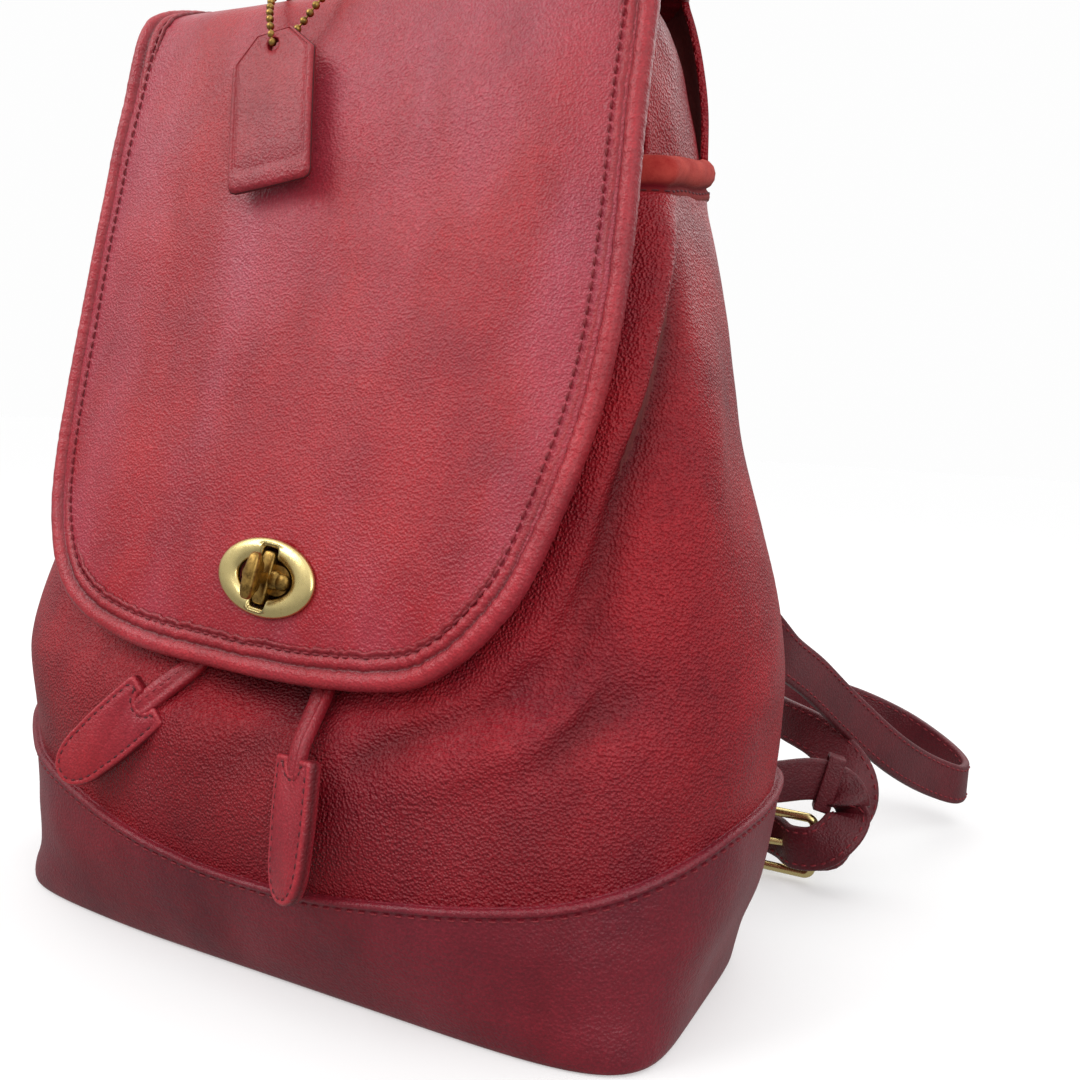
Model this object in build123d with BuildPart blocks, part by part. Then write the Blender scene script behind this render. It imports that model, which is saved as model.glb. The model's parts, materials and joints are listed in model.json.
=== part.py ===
from build123d import *
import math
import os

# Leather drawstring backpack with a turnlock flap.
# Millimetres; X to the bag's right-hand side as seen from the front, -Y the front, +Z up.
# The origin is the centre of the underside, on the surface that the bag stands on.

# ---- driving dimensions -------------------------------------------------
# Bag outline at each height: height, half width, front depth, back depth, front and back squareness
BAG_STATIONS = [
    (0, 126, 58, 61, 7.0, 4.4),
    (14, 128, 63.5, 62, 4.6, 4.0),
    (35, 135, 71, 62, 3.0, 3.7),
    (60, 138.5, 72, 62, 2.6, 3.6),
    (85, 140, 61, 62, 2.5, 3.6),
    (100, 140, 52, 62, 2.5, 3.6),
    (116, 137, 50, 62, 2.5, 3.6),
    (145, 128, 42, 62, 2.4, 4.0),
    (175, 118.5, 34, 62, 2.3, 4.5),
    (205, 111.5, 28.5, 62, 2.3, 5.0),
    (233, 106, 21, 62, 2.3, 5.6),
    (265, 99.5, 13, 61.5, 2.3, 6.5),
    (284, 96.5, 13, 61, 2.3, 6.5),
    (300, 91.5, 13, 61, 2.3, 6.5),
    (319, 82.5, 13, 60, 2.3, 6.5),
]
OUTLINE_POINTS = 40
SPLIT_Y = 54.0  # side seams, near the back corners, where the front panel meets the back panel

LEATHER = 2.2
BAND_THICK = 1.8
BASE_THICK = 2.4
SEAM_GAP = 0.2
BODY_TOP = 251.0
HEM_TOP = 264.5
HEM_THICK = 5.5

BAND_FRONT_Z = 35.5  # top edge of the base band at the front centre
BAND_RISE = 30.0  # how much higher that edge is at the sides
BAND_BACK_Z = 66.0

BACK_TOP_Z = 315.8
BACK_TOP_HALF = 74.0

# Flap side profile, outer face, (y, z) from the bottom edge to the fold
FLAP_PROFILE = [(-66, 97), (-61, 125), (-46.5, 180), (-33.5, 240), (-23, 290), (-15.0, 311.2)]
YOKE_PROFILE = [(-11.2, 314.5), (8, 321), (30, 325), (48, 324), (57, 320.5)]
FOLD_AXIS = (-14.0, 314.2)
LIFT_AXIS = (57.5, 320.0)
FLAP_OUTER = 1.7
FLAP_LINING = 1.6
FLAP_HALF_WIDTH = 102.5
BINDING_WIDTH = 5.5
BINDING_PROUD = 0.9

LOCK_CENTRE = (0.0, -61.0, 125.0)
LOCK_TILT = 11.5  # degrees that the flap leans back at the lock
LOCK_ROLL = 7.0  # degrees that the turnlock is turned in its own plane
PLATE_WIDTH, PLATE_HEIGHT, PLATE_THICK = 37.5, 24.4, 2.0
SLOT_WIDTH, SLOT_HEIGHT = 21.0, 12.6
NOTCH_WIDTH, NOTCH_HEIGHT = 5.8, 18.4
TOGGLE_LENGTH, TOGGLE_WIDTH, TOGGLE_DEPTH = 14.4, 4.4, 3.6
TOGGLE_STAND = 5.6
POST_RADIUS = 4.6
STEM_RADIUS = 1.7
STEM_CLEARANCE = 0.08
BASE_DEPTH = 13.6  # from the flap's outer face back to the bag's front

CORD_DIAMETER = 5.6
CORD_END_GAP = 0.7
TAB_WIDTH, TAB_LENGTH, TAB_THICK = 19.0, 41.0, 4.4
TAB_NOTCH_WIDTH, TAB_NOTCH_DEPTH = 8.0, 6.0

TAG_WIDTH, TAG_LENGTH, TAG_THICK = 32.0, 53.0, 2.8
TAG_HOLE_RADIUS = 2.4
BEAD_RADIUS, BEAD_PITCH = 1.45, 3.5

STRAP_WIDTH, STRAP_THICK = 22.0, 3.6
LOWER_WIDTH, LOWER_THICK = 17.0, 2.8
HANDLE_WIDTH, HANDLE_THICK = 22.0, 4.0
HANDLE_Y = 36.0
HANDLE_TOP = 366.0
WIRE_RADIUS = 1.8

FAR = 400.0
os.makedirs("parts", exist_ok=True)


def save(block, name):
    """Labels a finished piece and writes its STEP file."""
    block.part.label = name
    export_step(block.part, f"parts/{name}.step")


def outline_at(height, inset=0.0):
    """Points round the bag's outline at a height: a superellipse, with its own squareness front and back."""
    below = max((s for s in BAG_STATIONS if s[0] <= height), key=lambda s: s[0])
    above = min((s for s in BAG_STATIONS if s[0] >= height), key=lambda s: s[0])
    share = 0 if above is below else (height - below[0]) / (above[0] - below[0])
    shape = (low + share * (high - low) for low, high in zip(below[1:], above[1:]))
    half, front, back, front_square, back_square = shape
    points = []
    for step in range(OUTLINE_POINTS):
        turn = 2 * math.pi * (step + 0.5) / OUTLINE_POINTS
        across, along = math.cos(turn) / (half - inset), math.sin(turn)
        power = back_square if along > 0 else front_square
        along /= (back if along > 0 else front) - inset
        reach = (abs(across) ** power + abs(along) ** power) ** (-1 / power)
        points.append((reach * math.cos(turn), reach * math.sin(turn)))
    return points


def bag_block(low, high, inset):
    """A solid filling the bag's outline from one height to another."""
    heights = [low] + [s[0] for s in BAG_STATIONS if low + 3 < s[0] < high - 3] + [high]
    with BuildPart() as block:
        for height in heights:
            with BuildSketch(Plane.XY.offset(height)):
                with BuildLine():
                    Spline(*outline_at(height, inset), periodic=True)
                make_face()
        loft()
    return block.part


def bag_wall(low, high, outer_inset, thickness):
    """A wall of the bag between two heights."""
    with BuildPart() as wall:
        add(bag_block(low, high, outer_inset))
        add(bag_block(low, high, outer_inset + thickness), mode=Mode.SUBTRACT)
    return wall.part


def half_space(front):
    """Everything in front of the side seams, or behind them."""
    side = -1 if front else 1
    with BuildPart() as space:
        with Locations((0, SPLIT_Y + side * (FAR / 2 + SEAM_GAP / 2), 0)):
            Box(2 * FAR, FAR, 3 * FAR)
    return space.part


def shifted(points, depth):
    """A side profile moved along its own normal, towards the inside of the bag."""
    moved = []
    for index, (y, z) in enumerate(points):
        before, after = points[max(index - 1, 0)], points[min(index + 1, len(points) - 1)]
        run, rise = after[0] - before[0], after[1] - before[1]
        length = math.hypot(run, rise)
        moved.append((y + depth * rise / length, z - depth * run / length))
    return moved


def sheet(profile, near, far):
    """A sheet across the bag, between two depths behind a side profile."""
    outer, inner = shifted(profile, near), shifted(profile, far)
    with BuildPart() as layer:
        with BuildSketch(Plane.YZ):
            with BuildLine():
                Spline(*outer)
                Line(outer[-1], inner[-1])
                Spline(*reversed(inner))
                Line(inner[0], outer[0])
            make_face()
        extrude(amount=1.2 * FLAP_HALF_WIDTH, both=True)
    return layer.part


def flap_prism(inset):
    """The flap's front outline, with its deep rounded bottom, carried through from front to back."""
    half, bottom, top = FLAP_HALF_WIDTH - inset, FLAP_PROFILE[0][1] + inset, FOLD_AXIS[1] + 8
    right = [(half, 200), (0.96 * half, 158), (0.79 * half, bottom + 22), (0.48 * half, bottom + 3.6)]
    with BuildPart() as prism:
        with BuildSketch(Plane.XZ):
            with BuildLine():
                Spline(*right, (0, bottom), *[(-x, z) for x, z in reversed(right)])
                Polyline(right[0], (half - 2, top), (2 - half, top), (-half, 200))
            make_face()
        extrude(amount=100, both=True)
    return prism.part


def ribbon(route, hints, width, thickness):
    """A strap through the points of a route, its width along the hints given with them."""
    points = [Vector(*point) for point in route]
    sections = []
    for index, point in enumerate(points):
        before, after = points[max(index - 1, 0)], points[min(index + 1, len(points) - 1)]
        along = (after - before).normalized()
        hint = Vector(*hints[index])
        across = (hint - along * hint.dot(along)).normalized()
        with BuildSketch(Plane(origin=point, x_dir=across, z_dir=along)) as section:
            Rectangle(width, thickness)
        sections.append(section.sketch.face())
    return loft(sections, ruled=True)


def save_pair(part, name):
    """Writes a right-hand piece and its mirror image on the left."""
    for side, solid in (("right", part), ("left", mirror(part, about=Plane.YZ))):
        solid.label = f"{side}_{name}"
        export_step(solid, f"parts/{side}_{name}.step")


# ---- base ---------------------------------------------------------------
with BuildPart() as base_panel:
    add(bag_block(0, BASE_THICK, 0))
save(base_panel, "base_panel")

with BuildPart() as base_stiffener:
    add(bag_block(BASE_THICK + SEAM_GAP, BASE_THICK + 2.2, 7))
save(base_stiffener, "base_stiffener")

with BuildPart() as band_wall:
    add(bag_wall(BASE_THICK + SEAM_GAP, BODY_TOP, 0, BAND_THICK))
    with Locations((0, 0, BAND_BACK_Z + FAR / 2)):
        Box(FAR, FAR, FAR, mode=Mode.SUBTRACT)

with BuildPart() as base_band_front:
    add(band_wall.part)
    add(half_space(front=True), mode=Mode.INTERSECT)
    with BuildSketch(Plane.XZ):
        with BuildLine():
            edge = [(x, BAND_FRONT_Z + BAND_RISE * (abs(x) / 137) ** 3) for x in range(-144, 145, 24)]
            Spline(*edge)
            Polyline(edge[-1], (150, 120), (-150, 120), edge[0])
        make_face()
    extrude(amount=FAR, both=True, mode=Mode.SUBTRACT)
save(base_band_front, "base_band_front")

with BuildPart() as base_band_back:
    add(band_wall.part)
    add(half_space(front=False), mode=Mode.INTERSECT)
save(base_band_back, "base_band_back")

# ---- turnlock's own plane -----------------------------------------------
lean = math.radians(LOCK_TILT)
roll = math.radians(LOCK_ROLL)
lock_across = (math.cos(roll), -math.sin(roll) * math.sin(lean), -math.sin(roll) * math.cos(lean))
lock_plane = Plane(origin=LOCK_CENTRE, x_dir=lock_across, z_dir=(0, -math.cos(lean), math.sin(lean)))
prong_spots = [(-7, 0), (7, 0)]

# ---- bag body -----------------------------------------------------------
body_wall = bag_wall(BASE_THICK + SEAM_GAP, BODY_TOP, BAND_THICK + 0.1, LEATHER)

with BuildPart() as front_panel:
    add(body_wall)
    add(half_space(front=True), mode=Mode.INTERSECT)
    with BuildSketch(lock_plane.offset(-BASE_DEPTH - 8)):
        with Locations(*prong_spots):
            Rectangle(1.4, 3.4)
    extrude(amount=12, mode=Mode.SUBTRACT)
save(front_panel, "front_panel")

with BuildPart() as back_panel:
    add(bag_wall(BASE_THICK + SEAM_GAP, BACK_TOP_Z, BAND_THICK + 0.1, LEATHER))
    add(half_space(front=False), mode=Mode.INTERSECT)
save(back_panel, "back_panel")

with BuildPart() as hem_band:
    add(bag_wall(BODY_TOP + SEAM_GAP, HEM_TOP, -1, HEM_THICK))
    add(half_space(front=True), mode=Mode.INTERSECT)
    with BuildSketch(Plane.XZ):
        with Locations((-14, 258), (14, 258)):
            Circle(4.3)
    extrude(amount=60, mode=Mode.SUBTRACT)
save(hem_band, "hem_band")

# ---- turnlock -----------------------------------------------------------
with BuildPart() as lock_post:
    with BuildSketch(lock_plane.offset(-BASE_DEPTH)):
        Ellipse(12, 9)
    extrude(amount=1.4)
    with BuildSketch(lock_plane.offset(-BASE_DEPTH)):
        SlotOverall(17.6, 2 * POST_RADIUS)
    extrude(amount=BASE_DEPTH + 0.4)
    with BuildSketch(lock_plane.offset(-BASE_DEPTH)):
        with Locations(*prong_spots):
            Rectangle(1.0, 3.0)
    extrude(amount=-5.6)
    with BuildSketch(lock_plane.offset(1)):
        Circle(STEM_RADIUS + STEM_CLEARANCE)
    extrude(amount=-11, mode=Mode.SUBTRACT)
save(lock_post, "lock_post")

with BuildPart() as lock_washer:
    with BuildSketch(lock_plane.offset(-BASE_DEPTH - 4.6)):
        Ellipse(12, 9)
        with Locations(*prong_spots):
            Rectangle(1.2, 3.2, mode=Mode.SUBTRACT)
    extrude(amount=-0.9)
save(lock_washer, "lock_washer")

outward = Axis(LOCK_CENTRE, (0, -math.cos(lean), math.sin(lean)))
with BuildPart() as turn_knob:
    with BuildSketch(lock_plane.offset(-9)):
        Circle(STEM_RADIUS)
    extrude(amount=9 + TOGGLE_STAND + 0.5)
    with BuildSketch(lock_plane.offset(TOGGLE_STAND)):
        SlotOverall(TOGGLE_LENGTH, TOGGLE_WIDTH, rotation=90)
    extrude(amount=TOGGLE_DEPTH)
    fillet(turn_knob.faces().sort_by(outward)[-1].edges(), 0.9)
save(turn_knob, "turn_knob")

# ---- flap ---------------------------------------------------------------
FLAP_THICK = FLAP_OUTER + FLAP_LINING
with BuildPart() as lock_hole:
    with BuildSketch(lock_plane.offset(-12)):
        Ellipse(SLOT_WIDTH / 2 + 1, NOTCH_HEIGHT / 2 + 0.4)
    extrude(amount=20)

with BuildPart() as flap_panel:
    add(sheet(FLAP_PROFILE, 0, FLAP_OUTER))
    add(flap_prism(BINDING_WIDTH + 0.1), mode=Mode.INTERSECT)
    add(lock_hole.part, mode=Mode.SUBTRACT)
save(flap_panel, "flap_panel")

with BuildPart() as flap_lining:
    add(sheet(FLAP_PROFILE, FLAP_OUTER + 0.05, FLAP_THICK))
    add(flap_prism(BINDING_WIDTH + 0.1), mode=Mode.INTERSECT)
    add(lock_hole.part, mode=Mode.SUBTRACT)
save(flap_lining, "flap_lining")

with BuildPart() as flap_binding:
    add(sheet(FLAP_PROFILE, -BINDING_PROUD, FLAP_THICK + 0.3))
    add(flap_prism(0), mode=Mode.INTERSECT)
    add(flap_prism(BINDING_WIDTH), mode=Mode.SUBTRACT)
save(flap_binding, "flap_binding")

with BuildPart() as lock_plate:
    with BuildSketch(lock_plane.offset(0.3)):
        Ellipse(PLATE_WIDTH / 2, PLATE_HEIGHT / 2)
        Ellipse(SLOT_WIDTH / 2, SLOT_HEIGHT / 2, mode=Mode.SUBTRACT)
        SlotOverall(NOTCH_HEIGHT, NOTCH_WIDTH, rotation=90, mode=Mode.SUBTRACT)
    extrude(amount=PLATE_THICK)
    fillet(lock_plate.faces().sort_by(outward)[-1].outer_wire().edges(), 0.8)
save(lock_plate, "lock_plate")

with BuildPart() as lock_plate_back:
    with BuildSketch(lock_plane.offset(-FLAP_THICK - 0.6)):
        Ellipse(PLATE_WIDTH / 2 - 1.5, PLATE_HEIGHT / 2 - 1)
        Ellipse(SLOT_WIDTH / 2 + 0.5, NOTCH_HEIGHT / 2 + 0.3, mode=Mode.SUBTRACT)
    extrude(amount=-0.8)
save(lock_plate_back, "lock_plate_back")

# ---- yoke over the top of the bag, and the grab handle on it ------------
with BuildPart() as yoke_outline:
    with BuildSketch():
        with BuildLine():
            front_half, rear_half, rear = FLAP_HALF_WIDTH - 1.6, BACK_TOP_HALF + 2, LIFT_AXIS[0] + 1
            side = Spline((front_half, -20), (99.5, -4), (94, 20), (85, 42), (rear_half, rear))
            mirror(side, about=Plane.YZ)
            Line((rear_half, rear), (-rear_half, rear))
            Line((front_half, -20), (-front_half, -20))
        make_face()
    extrude(amount=FAR)

with BuildPart() as yoke_panel:
    add(sheet(YOKE_PROFILE, 0, FLAP_OUTER))
    add(yoke_outline.part, mode=Mode.INTERSECT)
save(yoke_panel, "yoke_panel")

with BuildPart() as yoke_lining:
    add(sheet(YOKE_PROFILE, FLAP_OUTER + 0.05, FLAP_THICK))
    add(yoke_outline.part, mode=Mode.INTERSECT)
save(yoke_lining, "yoke_lining")

YOKE_TOP = 325.5
LEG_X = 62.0
with BuildPart() as grab_handle:
    with BuildSketch(Plane.XZ.offset(-HANDLE_Y)):
        with BuildLine():
            foot = YOKE_TOP + HANDLE_THICK / 2
            FilletPolyline(
                (-LEG_X - 28, foot), (-LEG_X - 2, foot), (-LEG_X + 4, HANDLE_TOP), (LEG_X - 4, HANDLE_TOP),
                (LEG_X + 2, foot), (LEG_X + 28, foot),
                radius=(5, 26, 26, 5),
            )
        trace(line_width=HANDLE_THICK)
    extrude(amount=HANDLE_WIDTH / 2, both=True)
save(grab_handle, "grab_handle")

with BuildPart() as handle_studs:
    for x in (-LEG_X - 18, LEG_X + 18):
        with Locations((x, HANDLE_Y, YOKE_TOP + HANDLE_THICK + 0.1)):
            Cylinder(4, 1.4, align=(Align.CENTER, Align.CENTER, Align.MIN))
save(handle_studs, "handle_studs")

# ---- hang tag and its ball chain ----------------------------------------
TAG_HOLE = (-31.0, -27.3, 296.0)
TAG_LEAN = math.radians(9)
flap_slope = math.atan2(FLAP_PROFILE[4][0] - FLAP_PROFILE[3][0], FLAP_PROFILE[4][1] - FLAP_PROFILE[3][1])
flap_down = Vector(0, -math.sin(flap_slope), -math.cos(flap_slope))
tag_down = flap_down * math.cos(TAG_LEAN) + Vector(1, 0, 0) * math.sin(TAG_LEAN)
tag_face = Vector(0, -math.cos(flap_slope), math.sin(flap_slope))
tag_plane = Plane(origin=TAG_HOLE, x_dir=tag_down, z_dir=tag_face)
with BuildPart() as hang_tag:
    with BuildSketch(tag_plane):
        half, above, below = TAG_WIDTH / 2, 4.6, TAG_LENGTH - 4.6
        with BuildLine():
            right_side = Polyline(
                (below, 0), (below, half - 3), (below - 3, half), (4.5, half), (-above, half - 9), (-above, 0)
            )
            mirror(right_side, about=Plane.XZ)
        make_face()
        Circle(TAG_HOLE_RADIUS, mode=Mode.SUBTRACT)
    extrude(amount=TAG_THICK / 2, both=True)
save(hang_tag, "hang_tag")


def bead_row(route):
    """Chain beads evenly spaced along straight stretches."""
    points = [Vector(*point) for point in route]
    spots, ahead = [], 0.0
    for start, end in zip(points, points[1:]):
        length = (end - start).length
        while ahead <= length:
            spots.append(tuple(start + (end - start) * (ahead / length)))
            ahead += BEAD_PITCH
        ahead -= length
    return spots


UPPER_CHAIN = [
    (-43, -11.0, 317.0), (-51, 1, 321.4), (-62, 15, 327.0), (-69.3, 25, 331.6), (-69.3, 47, 331.6), (-66, 50.4, 331.2),
    (-59, 50.4, 329.0), (-56.8, 47, 328.6), (-56.8, 25, 328.6), (-40, 13, 325.2), (-27, 0, 320.8), (-19, -11, 317.0),
]
LEFT_CHAIN = [(-36.0, -24.4, 303.6), (-41.5, -20.0, 311.0)]
RIGHT_CHAIN = [(-17.5, -23.4, 302.5), (-18.5, -20.0, 311.0)]
with BuildPart() as chain_over_top:
    with Locations(*bead_row(UPPER_CHAIN)):
        Sphere(BEAD_RADIUS)
save(chain_over_top, "chain_over_top")

with BuildPart() as chain_at_tag:
    with Locations(*bead_row(LEFT_CHAIN), *bead_row(RIGHT_CHAIN)):
        Sphere(BEAD_RADIUS)
save(chain_at_tag, "chain_at_tag")

# ---- drawstrings and their pull tabs ------------------------------------
# Each route: out of the hem, down between the flap and the bag, to the notch of its pull tab.
RIGHT_ROUTE = [
    (14, -15.7, 260.5), (14, -22.8, 256), (14.2, -25.4, 243), (15, -30.8, 219), (16.6, -41.5, 174), (18.8, -52.6, 131),
    (21.3, -56.9, 105), (22.4, -60.4, 93.5), (23.7, -68.6, 85), (24.6, -74.2, 78.5), (25.0, -75.6, 71.5),
]
LEFT_ROUTE = [
    (-14, -15.7, 260.5), (-14, -22.8, 256), (-14.2, -25.4, 243), (-15, -30.8, 219), (-16.2, -41.5, 174),
    (-18.5, -52.5, 131), (-23.0, -56.4, 106), (-27.0, -59.9, 94.5), (-33.5, -67.0, 87.5), (-41.5, -70.8, 79.5),
]
TAB_FACE = {"right": (-0.36, -0.92, -0.10), "left": (-0.12, -0.97, -0.12)}
TAB_ALONG = {"right": (0.05, -0.16, -0.98), "left": (-0.70, -0.20, -0.68)}


def cord_radii(route):
    """The largest tangent arc that each corner's two runs allow."""
    points = [Vector(*point) for point in route]
    radii = []
    for before, corner, after in zip(points, points[1:], points[2:]):
        turn = (corner - before).get_angle(after - corner)
        shorter = min((corner - before).length, (after - corner).length)
        radii.append(0.45 * shorter / math.tan(math.radians(turn) / 2))
    return radii


def cord(route):
    """A tube of straight runs and tangent arcs."""
    with BuildPart() as tube:
        with BuildLine() as path:
            FilletPolyline(*route, radius=cord_radii(route))
        line = path.wire()
        with BuildSketch(Plane(origin=line @ 0, z_dir=line % 0)):
            Circle(CORD_DIAMETER / 2)
        sweep(path=line)
    share = tube.part.volume / (math.pi * CORD_DIAMETER**2 / 4 * line.length)
    print(f"cord {line.length:.1f} mm, volume over section times length {share:.4f}")
    return tube


def pull_tab(notch, along, face):
    """A bullet-shaped leather tab, with a notch at its top for the drawstring's end."""
    tab_plane = Plane(origin=notch, x_dir=along, z_dir=face)
    half, tip = TAB_WIDTH / 2, TAB_LENGTH - TAB_NOTCH_DEPTH
    with BuildPart() as tab:
        with BuildSketch(tab_plane):
            with BuildLine():
                flank = Line((-TAB_NOTCH_DEPTH, half), (tip - 17, half - 0.8))
                nose = Spline(flank @ 1, (tip - 6, half * 0.62), (tip, 0), tangents=[(1, 0), (0, -1)])
                mirror(flank, about=Plane.XZ)
                mirror(nose, about=Plane.XZ)
                Line((-TAB_NOTCH_DEPTH, half), (-TAB_NOTCH_DEPTH, -half))
            make_face()
            with Locations((-TAB_NOTCH_DEPTH / 2, 0)):
                Rectangle(TAB_NOTCH_DEPTH, TAB_NOTCH_WIDTH, mode=Mode.SUBTRACT)
        extrude(amount=TAB_THICK / 2, both=True)
    return tab


for side, route in (("right", RIGHT_ROUTE), ("left", LEFT_ROUTE)):
    drawstring = cord(route)
    save(drawstring, f"{side}_drawstring")
    heading, outward_hint = Vector(*TAB_ALONG[side]).normalized(), Vector(*TAB_FACE[side])
    face = (outward_hint - heading * outward_hint.dot(heading)).normalized()
    tab = pull_tab(Vector(*route[-1]) + heading * CORD_END_GAP, heading, face)
    save(tab, f"{side}_pull_tab")

# ---- shoulder straps, lower straps and buckles, right side first --------
UP, ACROSS = (0, 0, 1), (1, 0, 0)
SHOULDER_ROUTE = [
    ((24, 62.6, 296), ACROSS), ((38, 62.9, 250), (1, 0, 0.3)), ((64, 63.8, 195), (1, 0, 0.5)),
    ((94, 66.5, 142), (0.9, 0.2, 0.8)), ((114, 73, 110), (0.5, 0.2, 1)), ((123, 84, 97), UP), ((132, 110, 82), UP),
    ((143, 140, 62), UP), ((158, 170, 41), UP), ((172, 200, 26), UP), ((181, 217, 20), UP), ((182, 229, 20), UP),
    ((174, 239, 24), UP), ((152, 247, 34), UP), ((126, 241, 44), UP), ((104, 222, 51), UP), ((93, 196, 54), UP),
    ((96, 170, 56), UP), ((110, 151, 55), UP), ((130, 140, 51), (0.25, 0.25, 0.9)), ((145, 131, 42), (0.5, 0.6, 0.6)),
    ((151, 124, 31), (0.3, 0.9, 0.1)), ((149, 117, 21), (0.1, 0.9, -0.5)), ((143.5, 112, 15.5), (0, 0.2, -1)),
]
LOWER_ROUTE = [
    ((90, 60.6, 17), UP), ((100, 64.5, 16.8), UP), ((104.5, 73, 16.3), UP), ((105, 86, 15.5), UP), ((105, 101, 15), UP),
    ((108, 112.5, 15), UP), ((115, 116.4, 15), UP), ((122, 112.5, 15), UP), ((129, 104.2, 15.5), UP),
    ((139, 101.5, 18), (0.1, 0.1, 1)), ((146, 103.5, 24), (-0.3, 0.5, 0.8)), ((149.0, 110, 31), (-0.4, 0.6, 0.6)),
    ((145, 114.6, 38.5), (0.5, 0.3, 0.8)), ((136, 112, 42), UP), ((123, 104, 41), UP), ((111, 96, 38.5), UP),
]
BUCKLE_BAR_X, BUCKLE_FAR_X, BUCKLE_Y = 136.0, 114.0, 110.0
BUCKLE_LOW, BUCKLE_HIGH = 3.4, 26.4
TONGUE_Z = (BUCKLE_LOW + BUCKLE_HIGH) / 2


def strap(stations, width, thickness):
    return ribbon([point for point, _ in stations], [hint for _, hint in stations], width, thickness)


def upright(x, radius, low, high):
    """A round bar standing at x in the buckle's plane."""
    with BuildPart() as bar:
        with BuildSketch(Plane.XY.offset(low)):
            with Locations((x, BUCKLE_Y)):
                Circle(radius)
        extrude(amount=high - low)
    return bar.part


with BuildPart() as shoulder_strap:
    add(strap(SHOULDER_ROUTE, STRAP_WIDTH - 4, STRAP_THICK))
    add(upright(BUCKLE_BAR_X, WIRE_RADIUS + 2.6, 6, 24))
    with BuildSketch(Plane.XY.offset(6.2)):
        with Locations((BUCKLE_BAR_X + 4.5, BUCKLE_Y + 0.5)):
            Rectangle(7, STRAP_THICK)
    extrude(amount=17.6)
    add(upright(BUCKLE_BAR_X, WIRE_RADIUS + 0.15, 0, 30), mode=Mode.SUBTRACT)
    with Locations((BUCKLE_BAR_X - 3, BUCKLE_Y, TONGUE_Z)):
        Box(14, 14, 5, mode=Mode.SUBTRACT)
save_pair(shoulder_strap.part, "shoulder_strap")

with BuildPart() as buckle_frame:
    centre = ((BUCKLE_BAR_X + BUCKLE_FAR_X) / 2, BUCKLE_Y, TONGUE_Z)
    with BuildSketch(Plane(origin=centre, x_dir=ACROSS, z_dir=(0, -1, 0)), mode=Mode.PRIVATE) as frame_shape:
        RectangleRounded(BUCKLE_BAR_X - BUCKLE_FAR_X, BUCKLE_HIGH - BUCKLE_LOW, 3)
    frame_line = frame_shape.sketch.face().outer_wire()
    with BuildSketch(Plane(origin=frame_line @ 0, z_dir=frame_line % 0)):
        Circle(WIRE_RADIUS)
    sweep(path=frame_line)
save_pair(buckle_frame.part, "buckle_frame")

with BuildPart() as buckle_tongue:
    add(upright(BUCKLE_BAR_X, WIRE_RADIUS + 2.0, TONGUE_Z - 1.4, TONGUE_Z + 1.4))
    tip_point = (BUCKLE_FAR_X - 0.5, BUCKLE_Y - WIRE_RADIUS - 1.7, TONGUE_Z)
    root_point = (BUCKLE_BAR_X - WIRE_RADIUS - 1.0, BUCKLE_Y - 1.2, TONGUE_Z)
    rod = Vector(*tip_point) - Vector(*root_point)
    with BuildSketch(Plane(origin=root_point, z_dir=rod)):
        Circle(1.3)
    extrude(amount=rod.length)
    add(upright(BUCKLE_BAR_X, WIRE_RADIUS + 0.08, 0, 30), mode=Mode.SUBTRACT)
save_pair(buckle_tongue.part, "buckle_tongue")

with BuildPart() as lower_strap:
    add(strap(LOWER_ROUTE, LOWER_WIDTH, LOWER_THICK))
    with Locations((128, BUCKLE_Y - 2, TONGUE_Z)):
        Box(25, 20, 5.4, mode=Mode.SUBTRACT)
save_pair(lower_strap.part, "lower_strap")

# The keeper is a flat loop round the lower strap, where the strap turns back behind its buckle.
KEEPER_LENGTH, KEEPER_WALL, KEEPER_PLAY = 5.0, 1.6, 3.2
keeper_plane = Plane(origin=(139.6, 113.4, 40.9), x_dir=(0.2, 0.12, 0.97), z_dir=(-0.93, -0.24, 0.28))
with BuildPart() as strap_keeper:
    with BuildSketch(keeper_plane):
        inner_width, inner_thick = LOWER_WIDTH + KEEPER_PLAY, LOWER_THICK + KEEPER_PLAY
        Rectangle(inner_width + 2 * KEEPER_WALL, inner_thick + 2 * KEEPER_WALL)
        Rectangle(inner_width, inner_thick, mode=Mode.SUBTRACT)
    extrude(amount=KEEPER_LENGTH / 2, both=True)
save_pair(strap_keeper.part, "strap_keeper")

# ---- pieces sewn over the back ------------------------------------------
with BuildPart() as strap_patch:
    with BuildSketch(Plane.XZ.offset(-66.5)):
        with Locations((0, 292)):
            RectangleRounded(84, 26, 5)
    extrude(amount=1.9)
save(strap_patch, "strap_patch")

with BuildPart() as flap_seam_strip:
    with BuildSketch(Plane.XZ.offset(-62.0)):
        with Locations((0, 314.5)):
            Rectangle(2 * BACK_TOP_HALF - 2, 11)
    extrude(amount=1.7)
save(flap_seam_strip, "flap_seam_strip")
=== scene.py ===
"""Leather drawstring backpack: the looks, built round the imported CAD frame. Lengths are in mm until MM."""

import json
import math

import bpy
import numpy as np
from mathutils import Matrix, Vector, noise

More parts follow.
